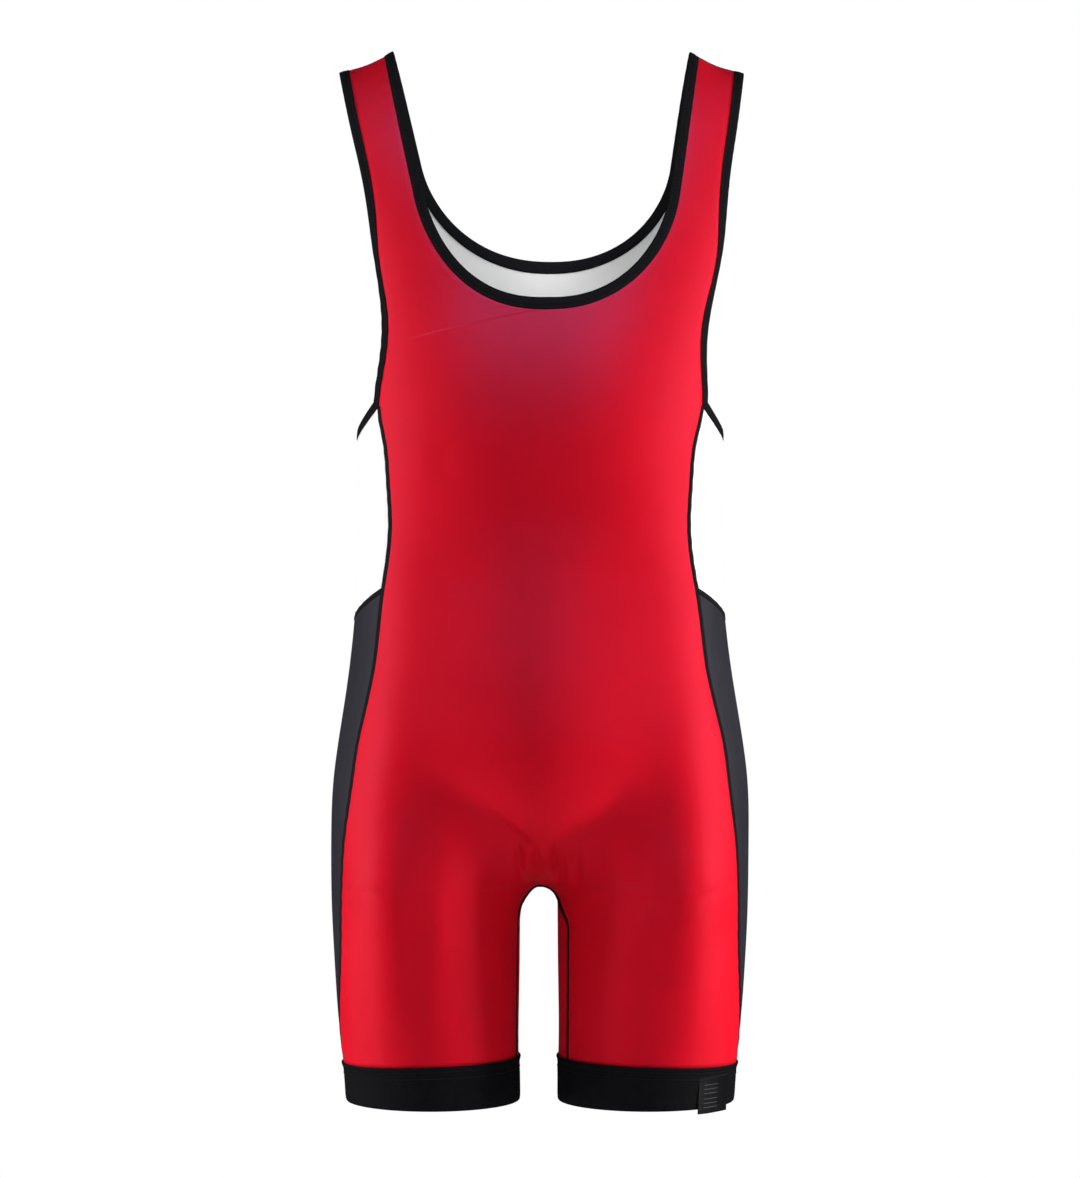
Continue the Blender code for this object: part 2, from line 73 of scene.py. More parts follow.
def soft_box(name, place, aim, width, height, watts, matt=True, gloss=True):
    """Rectangular area light at a place, turned to shine at its aim and unseen by the camera.

    It can be kept from lighting surfaces or from showing as their gloss.
    """
    light = bpy.data.lights.new(name, "AREA")
    light.shape = "RECTANGLE"
    light.size = width
    light.size_y = height
    light.energy = watts
    box = bpy.data.objects.new(name, light)
    box.location = place
    box.rotation_euler = (Vector(aim) - Vector(place)).to_track_quat("-Z", "Y").to_euler()
    box.visible_camera = False
    box.visible_diffuse = matt
    box.visible_glossy = gloss
    scene.collection.objects.link(box)


# The fills lighten the shadows, the box above the camera adds only gloss, and the lamp is in the neck.
soft_box("left soft box", (-2.19, -0.07, -0.4), (0.0, 0.0, -0.45), 0.4, 2.0, 44.0)
soft_box("right soft box", (2.19, -0.2, -0.28), (0.0, 0.0, -0.4), 0.4, 1.8, 58.0)
soft_box("front fill", (0.0, -2.4, 0.6), (0.0, 0.0, -0.45), 1.2, 1.2, 15.0, gloss=False)
soft_box("top soft box", (0.0, -1.9, 1.5), (0.0, 0.0, -0.25), 0.9, 0.5, 240.0, matt=False)
soft_box("rear fill", (0.0, 2.4, 0.6), (0.0, 0.0, -0.45), 1.2, 1.2, 15.0, gloss=False)
soft_box("inner lamp", (0.003, 0.045, -0.155), (0.003, 0.1, -0.172), 0.05, 0.02, 0.024, gloss=False)


def feed(tree, node, inputs):
    """Gives each named or numbered input of a node its value, or a link where that is a socket."""
    for word, value in inputs.items():
        if isinstance(value, bpy.types.NodeSocket):
            tree.links.new(value, node.inputs[word])
        else:
            node.inputs[word].default_value = value


def add_node(tree, kind, inputs, **settings):
    """Shader node of a kind, with its settings and its inputs."""
    node = tree.nodes.new("ShaderNode" + kind)
    for word, value in settings.items():
        setattr(node, word, value)
    feed(tree, node, inputs)
    return node


def math_node(tree, operation, first, second=0.0, third=0.0):
    """Output of a Math node whose inputs are sockets or numbers."""
    return add_node(tree, "Math", {0: first, 1: second, 2: third}, operation=operation).outputs["Value"]


def new_material(name, **values):
    """Material with a Principled shader, its node tree and that shader, whose values are set."""
    material = bpy.data.materials.new(name)
    material.use_nodes = True
    tree = material.node_tree
    shader = tree.nodes["Principled BSDF"]
    feed(tree, shader, {word.replace("_", " "): value for word, value in values.items()})
    return material, tree, shader


def tint(tree, shader, dark, light, share):
    """Colours the shader between dark and light by a share."""
    mixed = add_node(tree, "Mix", {"A": (*dark, 1.0), "B": (*light, 1.0), "Factor": share}, data_type="RGBA")
    feed(tree, shader, {"Base Color": mixed.outputs["Result"]})


world = bpy.data.worlds.new("white ground")
world.use_nodes = True
world.cycles_visibility.glossy = False
scene.world = world
sky = world.node_tree
sky.nodes.clear()
seen = add_node(sky, "Background", {"Color": WHITE})
shed = add_node(sky, "Background", {"Color": WHITE, "Strength": GROUND_LIGHT})
ray = add_node(sky, "LightPath", {})
choice = add_node(sky, "MixShader", {"Fac": ray.outputs["Is Camera Ray"], 1: shed.outputs["Background"],
                                     2: seen.outputs["Background"]})
add_node(sky, "OutputWorld", {"Surface": choice.outputs["Shader"]})


def grid_faces(rows, columns, close_rows=False, close_columns=False):
    """Faces of four corners on a grid of points, and the row and the column of each corner.

    Over a closed side a row or column runs one past the last, where the points start again.
    """
    row = np.arange(rows - 1 + close_rows)
    column = np.arange(columns - 1 + close_columns)
    row, column = np.meshgrid(row, column, indexing="ij")
    row = np.stack([row, row, row + 1, row + 1], axis=-1).reshape(-1, 4)
    column = np.stack([column, column + 1, column + 1, column], axis=-1).reshape(-1, 4)
    return row % rows * columns + column % columns, row, column


def add_object(name, points, faces, places, closed=True):
    """Object from points in metres, faces of four corners and the map place of each corner.

    Points that coincide become one, and on a closed form the faces are then turned to point out.
    """
    mesh = bpy.data.meshes.new(name)
    mesh.from_pydata(points, [], faces.tolist())
    layer = mesh.uv_layers.new(name="cloth")
    layer.uv.foreach_set("vector", np.ascontiguousarray(places, np.float32).ravel())
    made = bmesh.new()
    made.from_mesh(mesh)
    bmesh.ops.remove_doubles(made, verts=made.verts, dist=MERGE_WITHIN)
    if closed:
        bmesh.ops.recalc_face_normals(made, faces=made.faces)
    made.to_mesh(mesh)
    made.free()
    mesh.shade_smooth()
    piece = bpy.data.objects.new(name, mesh)
    scene.collection.objects.link(piece)
    return piece


# The floor is a polar grid. Its outer part fades away, so that no edge shows against the ground.
FLOOR_Z = -1.45
FLOOR_RADIUS = 2.9
FLOOR_RINGS = 30
FLOOR_SPOKES = 96
FADE_FROM = 0.55 * FLOOR_RADIUS
FADE_TO = 1.05 * FLOOR_RADIUS
FLOOR_PALE = (0.82, 0.82, 0.82)
FLOOR_PALER = (0.86, 0.86, 0.86)

spokes = np.linspace(0, 2 * pi, FLOOR_SPOKES, endpoint=False)
turn, reach = np.meshgrid(spokes, np.linspace(0, FLOOR_RADIUS, FLOOR_RINGS))
floor_points = np.stack([reach * np.cos(turn), reach * np.sin(turn), np.full(turn.shape, FLOOR_Z)], axis=-1)
floor_points = floor_points.reshape(-1, 3)
floor_faces = grid_faces(FLOOR_RINGS, FLOOR_SPOKES, close_columns=True)[0][:, ::-1]
floor = add_object("floor", floor_points, floor_faces, floor_points[floor_faces][..., :2], closed=False)
material, tree, shader = new_material("pale floor", Roughness=0.8, Specular_IOR_Level=0.1)
spot = add_node(tree, "TexCoord", {}).outputs["Object"]
far = add_node(tree, "VectorMath", {0: spot}, operation="LENGTH")
fade = add_node(tree, "MapRange", {"Value": far.outputs["Value"], "From Min": FADE_FROM, "From Max": FADE_TO,
                                   "To Min": 1.0, "To Max": 0.0}, interpolation_type="SMOOTHERSTEP")
feed(tree, shader, {"Alpha": fade.outputs["Result"]})
grain = add_node(tree, "TexNoise", {"Scale": 3.0, "Vector": spot})
tint(tree, shader, FLOOR_PALE, FLOOR_PALER, grain.outputs["Fac"])
floor.data.materials.append(material)
floor.visible_glossy = False


# Front and back. Each is one piece of stretch knit from the straps to the leg bands, dyed red on its
# face and white on its inner side. They are sewn to each other at the shoulders, inside the legs and
# at the crotch, and to the side panels. The knit is 0.9 mm thick and takes the wearer's form, with
# soft troughs and ridges where it is pulled.

CLOTH = 0.9
SIDES = ((-1, "left"), (1, "right"))

CHEST_Z = -190.0
FORK_Z = -293.0
HIP_Z = -444.0
CROTCH_Z = -690.0
BAND_TOP_Z = -839.5
HEM_Z = -871.0
TOP_LEVEL = CHEST_Z * (1 - pi / 2)

# The body's half width at each height, its depth in front of and behind the middle plane, and the same
# two depths of a leg.
SECTION_COLUMNS = ("height", "half_width", "front", "back", "leg_front", "leg_back")
SECTIONS = (
    (-900, 160.0, 110, 112, 73, 74),
    (-838, 165.0, 110, 112, 77, 77),
    (-790, 169.8, 110, 112, 82, 83),
    (-740, 173.0, 111, 116, 88, 90),
    (-690, 174.8, 112, 120, 94, 97),
    (-640, 174.6, 113, 123, 96, 100),
    (-600, 172.8, 113, 122, 96, 100),
    (-560, 167.8, 112, 117, 95, 98),
    (-520, 161.2, 109, 110, 94, 96),
    (-480, 156.0, 105, 104, 93, 94),
    (-440, 152.6, 102, 100, 92, 92),
    (-390, 150.4, 103, 98, 92, 92),
    (-315, 153.4, 111, 103, 92, 92),
    (-240, 156.0, 104, 107, 92, 92),
    (-190, 164.0, 93, 107, 92, 92),
    (-100, 186.0, 84, 107, 92, 92),
    (0, 205.0, 80, 107, 92, 92),
)

# How blunt the body's oval is, how high and how far out the legs join it, the arch between the legs,
# and how the seam inside each leg turns to the front.
SQUARENESS = 2.3
CROTCH_RISE = {"front": 130.0, "back": 110.0}
JOIN_AWAY = 0.6
HALF_LEG_GAP = {-1: 17.4, 1: 15.4}
ARCH_HEIGHT = {-1: 32.0, 1: 14.0}
LEG_ROUND_OFF = 60.0
LEG_POINT = 0.33
INSEAM_TURN = {-1: 0.034, 1: 0.07}
INSEAM_TURN_DROP = {-1: 22.0, 1: 36.0}

# Where the straps slope down towards the arms, by how much and how hollow, and the lean towards +X.
STRAP_INSIDE = 125.0
STRAP_SPAN = 46.0
STRAP_LIMITS = (-0.5, 1.2)
SHOULDER_LIFT = 8.5
SHOULDER_DROP = 17.2
SHOULDER_HOLLOW = 1.95
LEAN_COLUMNS = ("height", "lean")
LEAN = ((-700, 0.0), (-500, 0.0), (-330, 0.0), (-270, 1.6), (-215, 4.9), (-150, 6.2), (-80, 4.0), (0, 1.4))

# Outer edges of the front and the back: side seams, and above the fork the armhole edges.
EDGE_COLUMNS = ("height", "half_width")
FRONT_EDGE = (
    (0, 162.0), (-30, 157.5), (-66, 151.6), (-101, 145.5), (-140, 141.7), (-170, 139.8), (-190, 136.2),
    (-213, 131.2), (-239, 129.0), (-272, 132.0), (-293, 133.4), (-321, 128.0), (-354, 124.2), (-386, 122.2),
    (-419, 123.8), (-452, 128.5), (-501, 134.0), (-550, 144.0), (-600, 154.0), (-648, 161.0), (-697, 164.0),
    (-764, 165.4), (-800, 167.0), (-838, 165.0),
)
BACK_EDGE = (
    (0, 162.0), (-66, 150.0), (-120, 136.0), (-170, 127.0), (-220, 124.0), (-260, 127.5), (-293, 131.0),
    (-354, 124.0), (-419, 122.0), (-501, 130.0), (-600, 146.0), (-697, 154.0), (-764, 156.0), (-838, 153.0),
)

# Each neck edge: its lowest height, half width, depth of scoop, flare above, bluntness and shift.
FRONT_NECK = {"bottom": -215.4, "half": 91.0, "deep": 95.0, "flare": 0.1892, "blunt": 2.4, "shift": 0.0}
BACK_NECK = {"bottom": -168.2, "half": 99.0, "deep": 84.0, "flare": 0.194, "blunt": 2.2, "shift": 2.2}

# How much lower a row ends at the armhole than at the neck, and how the band's top edge rises.
NECK_ROW_SLOPE = 30.0
BAND_RISE = 3.0
BAND_RISE_INSIDE = 5.0

# Troughs, and ridges where the depth is below zero, from one place to another on the front or back.
FOLD_COLUMNS = ("behind", "from_x", "from_z", "to_x", "to_z", "width", "depth")
FOLDS = (
    (False, -88, -592, -6, -660, 13.0, 2.6),
    (False, 84, -598, 10, -663, 13.0, 2.2),
    (True, -96, -668, -14, -650, 14.0, 2.6),
    (True, 92, -671, 16, -652, 14.0, 2.4),
    (False, -44, -622, -4, -657, 4.8, 4.2),
    (False, -19, -646, -14, -682, 3.4, 4.4),
    (False, -4, -648, 0, -680, 3.0, 3.0),
    (False, 12, -648, 17, -690, 3.6, 5.0),
    (False, 28, -648, 32, -690, 4.0, 2.8),
    (False, -10, -652, -7, -676, 3.2, -0.9),
    (False, 5, -652, 8, -676, 3.2, -0.9),
    (False, 38, -630, 9, -655, 5.5, 1.2),
    (False, -112, -640, -102, -815, 12.0, 1.1),
    (False, -82, -620, -80, -835, 13.0, -1.3),
    (False, 96, -676, 68, -812, 22.0, -1.8),
    (False, 44, -668, 34, -800, 15.0, 1.2),
    (False, -88, -325, -66, -358, 11.0, 0.8),
    (False, -96, -420, -40, -446, 16.0, 0.7),
    (False, 98, -414, 36, -440, 16.0, 0.7),
    (True, -104, -412, 18, -436, 12.0, 1.2),
    (True, 106, -428, -20, -452, 12.0, 1.1),
    (True, -92, -448, 30, -470, 11.0, 0.9),
    (True, -34, -634, -9, -652, 5.0, 0.9),
    (True, 32, -636, 10, -653, 5.0, 0.9),
    (True, -8, -650, -20, -668, 4.0, 0.8),
    (True, 9, -650, 21, -669, 4.0, 0.8),
    (True, -110, -690, -96, -812, 15.0, 1.2),
    (True, 112, -694, 98, -806, 15.0, 1.2),
    (True, -70, -700, -66, -826, 16.0, -1.0),
    (True, 72, -704, 66, -822, 16.0, -1.0),
)

# How much the folds drift, where they end, and how softly they stop at the garment's side.
FOLD_DRIFT = 0.3
FOLD_END = 0.04
TURN_SOFTNESS = 10.0

# How a fold's width swells and its line wanders along it, each by a sine.
SWELL = 0.7
SWELL_TURNS = 4.2
SWELL_SHIFT = 1.7
WANDER_TURNS = 3.4
WANDER_SHIFT = 2.3

# Broad swells in the same columns, where the cloth is drawn flat over the figure.
SWELLS = (
    (False, 0, -370, 0, -690, 58.0, -7.0),
    (False, -118, -380, -120, -640, 30.0, -3.0),
    (False, 120, -380, 122, -640, 30.0, -3.0),
    (False, -128, -640, -128, -850, 24.0, -4.5),
    (False, 128, -640, 128, -850, 24.0, -5.5),
    (False, -123, -500, -126, -740, 25.0, -3.6),
    (False, 121, -500, 126, -740, 25.0, -4.6),
)

# Slow waves over the whole garment: change of phase per millimetre along x, y and z, phase, height.
WAVES = (
    (0.031, 0.012, 0.017, 0.4, 0.30),
    (-0.022, 0.027, 0.036, 2.1, 0.24),
    (0.052, -0.033, 0.011, 4.0, 0.16),
    (0.018, 0.041, -0.061, 5.2, 0.14),
)

# Small gathers beside the seams and the bands. Their length and height drift along the seam, and a
# starting number for each kind of seam makes its gathers its own. The last values are a seam's dip.
GATHER_HEIGHT = 0.24
GATHER_LENGTH = 14.0
GATHER_DRIFT = 1.3
SLOW_DRIFT_OVER = 47.0
QUICK_DRIFT_OVER = 19.0
HEIGHT_DRIFT_OVER = 61.0
GATHER_FADE = 8.0
GATHER_START = 16.0
BAND_GATHER_SHIFT = 40.0
BACK_SEED = 2.4
SEEDS = {"side": 1.0, "inner edge": 3.1, "band": 0.7, "hip": 0.9, "side band": 2.2, "under arm": 4.4}
SEAM_DIP = 0.3
SEAM_DIP_WIDTH = 3.0

# Rows and columns of the panels, closer together by a power towards the crotch and the middle.
LEG_STEPS = 56
LEG_CLOSING = 1.6
SEAT_STEPS = 84
SEAT_CLOSING = 1.35
WAIST_STEPS = 50
CHEST_STEPS = {"front": 18, "back": 30}
SCOOP_STEPS = 48
STRAP_STEPS = 48
PANEL_COLUMNS = 52
COLUMNS_TO_MIDDLE = 1.25
HALVINGS = 36

# The knit in metres, and how much its loops and the variation change relief, colour and roughness. The loops
# paint shade into the grooves between ribs, and the variation gives random tone.
WALE = 0.0007
COURSE = 0.00055
LOOP_SLOPE = 0.45
LOOP_DEPTH = 0.3
RIB_SHADE = 0.4
FINE_SHADE = 0.3
SLOW_SHADE = 0.5
SLOW_ROUGH = 0.12
FINE_RELIEF = 0.35
CLOTH_BUMP = 0.5


def smooth_step(part):
    """Rise from 0 to 1, level at both ends: three squares of the part less two cubes."""
    part = np.clip(part, 0, 1)
    return part * part * (3 - 2 * part)


def unit(vectors):
    """Vectors brought to length one."""
    return vectors / np.linalg.norm(vectors, axis=-1, keepdims=True)


def curve_over(places, values, at):
    """Natural cubic curve through values at rising places, read at the places in at.

    Each span is a cubic whose second derivative is straight, and neighbours share slope and bend.
    """
    gap = np.diff(places)
    slope = np.diff(values) / gap
    matrix = np.eye(len(places))
    right = np.zeros(len(places))
    for i in range(1, len(places) - 1):
        matrix[i, i - 1:i + 2] = gap[i - 1], 2 * (gap[i - 1] + gap[i]), gap[i]
        right[i] = 6 * (slope[i] - slope[i - 1])
    bend = np.linalg.solve(matrix, right)
    at = np.clip(at, places[0], places[-1])
    i = np.clip(np.searchsorted(places, at) - 1, 0, len(gap) - 1)
    done = at - places[i]
    left = places[i + 1] - at
    curved = (bend[i] * left ** 3 + bend[i + 1] * done ** 3) / (6 * gap[i])
    from_below = (values[i] / gap[i] - bend[i] * gap[i] / 6) * left
    from_above = (values[i + 1] / gap[i] - bend[i + 1] * gap[i] / 6) * done
    return curved + from_below + from_above


def curve_through(table, columns, name, at):
    """The cubic curve through one named column of a table whose first column is the height."""
    rows = np.array(table, float)
    rows = rows[np.argsort(rows[:, 0])]
    return curve_over(rows[:, 0], rows[:, columns.index(name)], at)


def height_at(level):
    """Height of a level: the same below the chest, and a quarter turn over the shoulder above it."""
    over = np.maximum(level - CHEST_Z, 0) / -CHEST_Z
    return np.where(level < CHEST_Z, level, CHEST_Z * (1 - np.sin(over)))


def level_at(height):
    """Level of a height on the front or the back, the inverse of height_at."""
    turn = np.arcsin(np.clip(1 - height / CHEST_Z, 0, 1))
    return np.where(height < CHEST_Z, height, CHEST_Z * (1 - turn))


def smooth_half(side, share, level):
    """Half the body without folds: x away from the middle, y and z.

    The share runs round from the front middle at 0 to the back middle at 1. Above the crotch a
    blunt oval (sine and cosine to the power SQUARENESS) passes into two leg ovals that touch, at
    once near the middle and gently away from it. Below it they draw apart along a round arch. Over
    the shoulder the oval's depth falls to nothing.
    """
    share, level = np.broadcast_arrays(np.asarray(share, float), np.asarray(level, float))
    over = np.maximum(level - CHEST_Z, 0) / -CHEST_Z
    height = height_at(level)
    on_leg = height < CROTCH_Z
    front = np.where(on_leg, share % 1 < 0.5, share < 0.5)
    wide, deep_front, deep_back, leg_front, leg_back = (
        curve_through(SECTIONS, SECTION_COLUMNS, name, height) for name in SECTION_COLUMNS[1:])
    deep = np.where(front, deep_front, deep_back) * np.cos(over)
    leg = np.where(front, leg_front, leg_back)
    sine = np.sin(pi * share)
    cosine = np.cos(pi * share)
    blunt = (np.abs(sine) ** SQUARENESS + np.abs(cosine) ** SQUARENESS) ** (-1 / SQUARENESS)
    rise = np.where(front, CROTCH_RISE["front"], CROTCH_RISE["back"])
    up = np.clip((height - CROTCH_Z) / rise, 0, 1)
    joined = 1 - (1 - up) ** 2
    joined = joined + smooth_step(np.abs(sine) / JOIN_AWAY) * (smooth_step(up) - joined)
    leg_x = wide * ((1 - LEG_POINT) * sine * np.abs(sine) + LEG_POINT * sine)
    x_body = leg_x + joined * (wide * blunt * sine - leg_x)
    y_body = -cosine * np.sqrt(joined * (deep * blunt) ** 2 + (1 - joined) * (2 * leg * sine) ** 2)
    y_body = np.where(over > pi / 2, -y_body, y_body)
    down = np.clip((CROTCH_Z - height) / ARCH_HEIGHT[side], 0, 1)
    gap = HALF_LEG_GAP[side] * np.sqrt(1 - (1 - down) ** 2)
    ease = smooth_step((CROTCH_Z - height) / LEG_ROUND_OFF)
    parting = np.sqrt(gap ** 2 + leg_x ** 2 * (1 - (gap / wide) ** 2))
    x_leg = (1 - ease) * parting + ease * (gap + (wide - gap) * sine ** 2)
    x = np.where(on_leg, x_leg, x_body)
    y = np.where(on_leg, -2 * leg * sine * cosine, y_body)
    outer = np.clip((np.abs(x) - STRAP_INSIDE) / STRAP_SPAN, *STRAP_LIMITS)
    drop = np.where(outer > 0, 1 - np.maximum(1 - outer, 0) ** SHOULDER_HOLLOW, SHOULDER_HOLLOW * outer)
    fade = np.maximum(1 - height / CHEST_Z, 0) ** 3
    z = height + (SHOULDER_LIFT - SHOULDER_DROP * drop) * fade
    return x, y, z


def smooth_point(side, share, level):
    """Point of the body without folds, leaning a little towards +X at the neck."""
    x, y, z = smooth_half(side, share, level)
    lean = curve_through(LEAN, LEAN_COLUMNS, "lean", height_at(level))
    return np.stack(np.broadcast_arrays(side * x + lean, y, z), axis=-1)


def face_out(side, share, level):
    """Direction out of the body: the cross product of small steps along the share and the level."""
    step = 0.001
    rise = 0.2
    across = smooth_point(side, share + step, level) - smooth_point(side, share - step, level)
    up = smooth_point(side, share, level + rise) - smooth_point(side, share, level - rise)
    return unit(np.cross(across, up) * side)


def trough(row, x, y, z, drift, seed):
    """Depth of one fold: a bell across its line, dying away towards both ends.

    Its line wanders by a sine and its width swells unevenly, both as much as the drift says.
    """
    fold = dict(zip(FOLD_COLUMNS, row))
    run_x = fold["to_x"] - fold["from_x"]
    run_z = fold["to_z"] - fold["from_z"]
    length = np.hypot(run_x, run_z)
    along = ((x - fold["from_x"]) * run_x + (z - fold["from_z"]) * run_z) / length ** 2
    across = ((x - fold["from_x"]) * run_z - (z - fold["from_z"]) * run_x) / length
    past = (along - np.clip(along, 0, 1)) * length
    width = fold["width"] * (1 + SWELL * drift * np.sin(SWELL_TURNS * along + SWELL_SHIFT * seed))
    across = across - drift * width * np.sin(WANDER_TURNS * along + WANDER_SHIFT * seed)
    bell = np.exp(-(across ** 2 + past ** 2) / width ** 2)
    ease = np.sin(pi * np.clip(along, FOLD_END, 1 - FOLD_END))
    facing = 0.5 + (0.5 if fold["behind"] else -0.5) * np.tanh(y / TURN_SOFTNESS)
    return fold["depth"] * bell * ease * facing


def fold_lift(side, share, level):
    """How far the folds, the broad swells and slow waves, a sum of plane sines, raise the cloth."""
    x, y, z = smooth_half(side, share, level)
    x = side * x
    lift = np.zeros(x.shape)
    for number, row in enumerate(FOLDS):
        lift -= trough(row, x, y, z, FOLD_DRIFT, number)
    for row in SWELLS:
        lift -= trough(row, x, y, z, 0, 0)
    for per_x, per_y, per_z, phase, tall in WAVES:
        lift += tall * np.sin(per_x * x + per_y * y + per_z * z + phase)
    return lift


def gathers(run, seed):
    """Small gathers along a seam: a sine whose length and height drift along the run."""
    drift = np.sin(run / SLOW_DRIFT_OVER + seed) + 0.6 * np.sin(run / QUICK_DRIFT_OVER + 2 * seed)
    tall = GATHER_HEIGHT * (0.6 + 0.4 * np.sin(run / HEIGHT_DRIFT_OVER + seed))
    return tall * np.sin(2 * pi * run / GATHER_LENGTH + GATHER_DRIFT * drift)


def beside_seam(away, run, seed):
    """Lift of the cloth at a distance from a seam: the gathers fading out, and a narrow dip."""
    return gathers(run, seed) * np.exp(-away / GATHER_FADE) - SEAM_DIP * np.exp(-(away / SEAM_DIP_WIDTH) ** 2)


def run_along(points):
    """Distance along each row of points from its first point."""
    step = np.linalg.norm(np.diff(points, axis=1), axis=-1)
    return np.concatenate([np.zeros((len(points), 1)), np.cumsum(step, axis=1)], axis=1)


def line_run(line):
    """Distance along one line of points from its first point."""
    return run_along(line[None])[0]


def around(values):
    """Values round a closed line, with the first one again at the end."""
    return np.concatenate([values, values[:1]])


def share_of_width(half_width, level, behind):
    """Share at which the body has a half width, found by halving the range again and again."""
    low = np.full(np.shape(half_width + level), 0.5 if behind else 0.0)
    high = low + 0.5
    for _ in range(HALVINGS):
        middle = (low + high) / 2
        short = smooth_half(1, middle, level)[0] < half_width
        rising = short != behind
        low = np.where(rising, middle, low)
        high = np.where(rising, high, middle)
    return (low + high) / 2


def edge_share(level, behind):
    """Share of the outer edge of the front, or of the back, at a level."""
    table = np.array(BACK_EDGE if behind else FRONT_EDGE, float)[::-1]
    levels = level_at(table[:, 0])
    shares = share_of_width(table[:, EDGE_COLUMNS.index("half_width")], levels, behind)
    return curve_over(levels, shares, level)


def neck_share(side, level, behind):
    """Share of the neck edge, a blunt scoop with flaring sides, at a level above its bottom."""
    neck = BACK_NECK if behind else FRONT_NECK
    height = height_at(level)
    up = height - neck["bottom"]
    down = 1 - np.clip(up / neck["deep"], 0, 1)
    half_width = neck["half"] * (1 - down ** 2) ** (1 / neck["blunt"]) + neck["flare"] * up
    half_width += side * neck["shift"] * height / neck["bottom"]
    return share_of_width(half_width, level, behind)


def inseam_share(side, level):
    """How far the seam inside the leg lies towards the front: a smooth step below the crotch."""
    return INSEAM_TURN[side] * smooth_step((CROTCH_Z - level) / INSEAM_TURN_DROP[side])


def band_top(share):
    """Height of the leg band's top edge, lowest on the outside of the leg and highest inside it."""
    return (BAND_TOP_Z + BAND_RISE * np.sin(2 * pi * share) ** 2
            + BAND_RISE_INSIDE * (0.5 + 0.5 * np.cos(2 * pi * share)) ** 2)


def seam_levels():
    """Levels of the rows from the leg band to the fork under the arm, closer together at the crotch."""
    leg = CROTCH_Z - (CROTCH_Z - BAND_TOP_Z) * np.linspace(1, 0, LEG_STEPS + 1) ** LEG_CLOSING
    seat = CROTCH_Z + (HIP_Z - CROTCH_Z) * np.linspace(0, 1, SEAT_STEPS + 1) ** SEAT_CLOSING
    waist = np.linspace(HIP_Z, FORK_Z, WAIST_STEPS + 1)
    return np.concatenate([leg, seat[1:], waist[1:]])


def meet_band(share, level):
    """Moves the rows of the leg so that the lowest one follows the band's top edge."""
    down = np.clip((CROTCH_Z - level) / (CROTCH_Z - BAND_TOP_Z), 0, 1)
    return level + (band_top(share) - BAND_TOP_Z) * down


def panel_grid(side, behind):
    """Shares and levels of half a main panel, and its row at the bottom of the neck.

    Rows run from the inner edge to the outer one. Above the fork the inner end of a row climbs the
    neck edge, stepped by a quarter turn round the scoop, and its outer end climbs the armhole.
    """
    neck = BACK_NECK if behind else FRONT_NECK
    steps = CHEST_STEPS["back" if behind else "front"]
    seams = seam_levels()
    neck_row = len(seams) - 1 + steps
    neck_level = level_at(neck["bottom"])
    scoop_top = level_at(neck["bottom"] + neck["deep"])
    turn = np.linspace(0, pi / 2, SCOOP_STEPS + 1)[1:]
    inner = np.concatenate([
        seams,
        np.linspace(FORK_Z, neck_level, steps + 1)[1:],
        level_at(neck["bottom"] + neck["deep"] * (1 - np.cos(turn))),
        np.linspace(scoop_top, TOP_LEVEL, STRAP_STEPS + 1)[1:],
    ])
    outer = np.concatenate([
        seams,
        np.linspace(FORK_Z, neck_level - NECK_ROW_SLOPE, steps + 1)[1:],
        np.linspace(neck_level - NECK_ROW_SLOPE, scoop_top - NECK_ROW_SLOPE, SCOOP_STEPS + 1)[1:],
        np.linspace(scoop_top - NECK_ROW_SLOPE, TOP_LEVEL, STRAP_STEPS + 1)[1:],
    ])
    middle = 1.0 if behind else 0.0
    share_in = middle + np.where(inner < CROTCH_Z, inseam_share(side, inner), 0)
    share_in[neck_row + 1:] = neck_share(side, inner[neck_row + 1:], behind)
    share_out = edge_share(outer, behind)
    part = np.linspace(0, 1, PANEL_COLUMNS + 1) ** COLUMNS_TO_MIDDLE
    share = share_in[:, None] + (share_out - share_in)[:, None] * part
    level = inner[:, None] + (outer - inner)[:, None] * part
    return share, meet_band(share, level), neck_row


def seam_seed(side, behind):
    """Starting number for the gathers of each side seam."""
    return SEEDS["side"] + side + BACK_SEED * behind


def main_half(side, behind):
    """Half of the front or the back as a grid: its face, the directions out of it and its map."""
    share, level, neck_row = panel_grid(side, behind)
    smooth = smooth_point(side, share, level)
    out = face_out(side, share, level)
    from_inner = run_along(smooth)
    from_outer = from_inner[:, -1:] - from_inner
    lift = fold_lift(side, share, level)
    lift += beside_seam(from_outer, level[:, -1:], seam_seed(side, behind))
    edge_run = line_run(smooth[:, 0])[:, None]
    edge_run = np.where(level[:, :1] > CROTCH_Z, edge_run - edge_run[neck_row], -edge_run)
    past_crotch = np.maximum(CROTCH_Z - level[:, :1], 0)
    past_neck = np.maximum(edge_run, 0)
    started = np.clip(np.maximum(past_crotch, past_neck) / GATHER_START, 0, 1)
    lift += started * beside_seam(from_inner, edge_run, SEEDS["inner edge"] + side)
    along_band = from_inner + BAND_GATHER_SHIFT * side
    lift += gathers(along_band, SEEDS["band"] + behind) * np.exp(-(level - level[:1]) / GATHER_FADE)
    face = smooth + out * lift[..., None]
    across = side * (np.abs(smooth[:, :1, 0]) + from_inner)
    return {"share": share, "level": level, "neck_row": neck_row, "face": face, "out": out,
            "map": np.stack([across, level], axis=-1)}


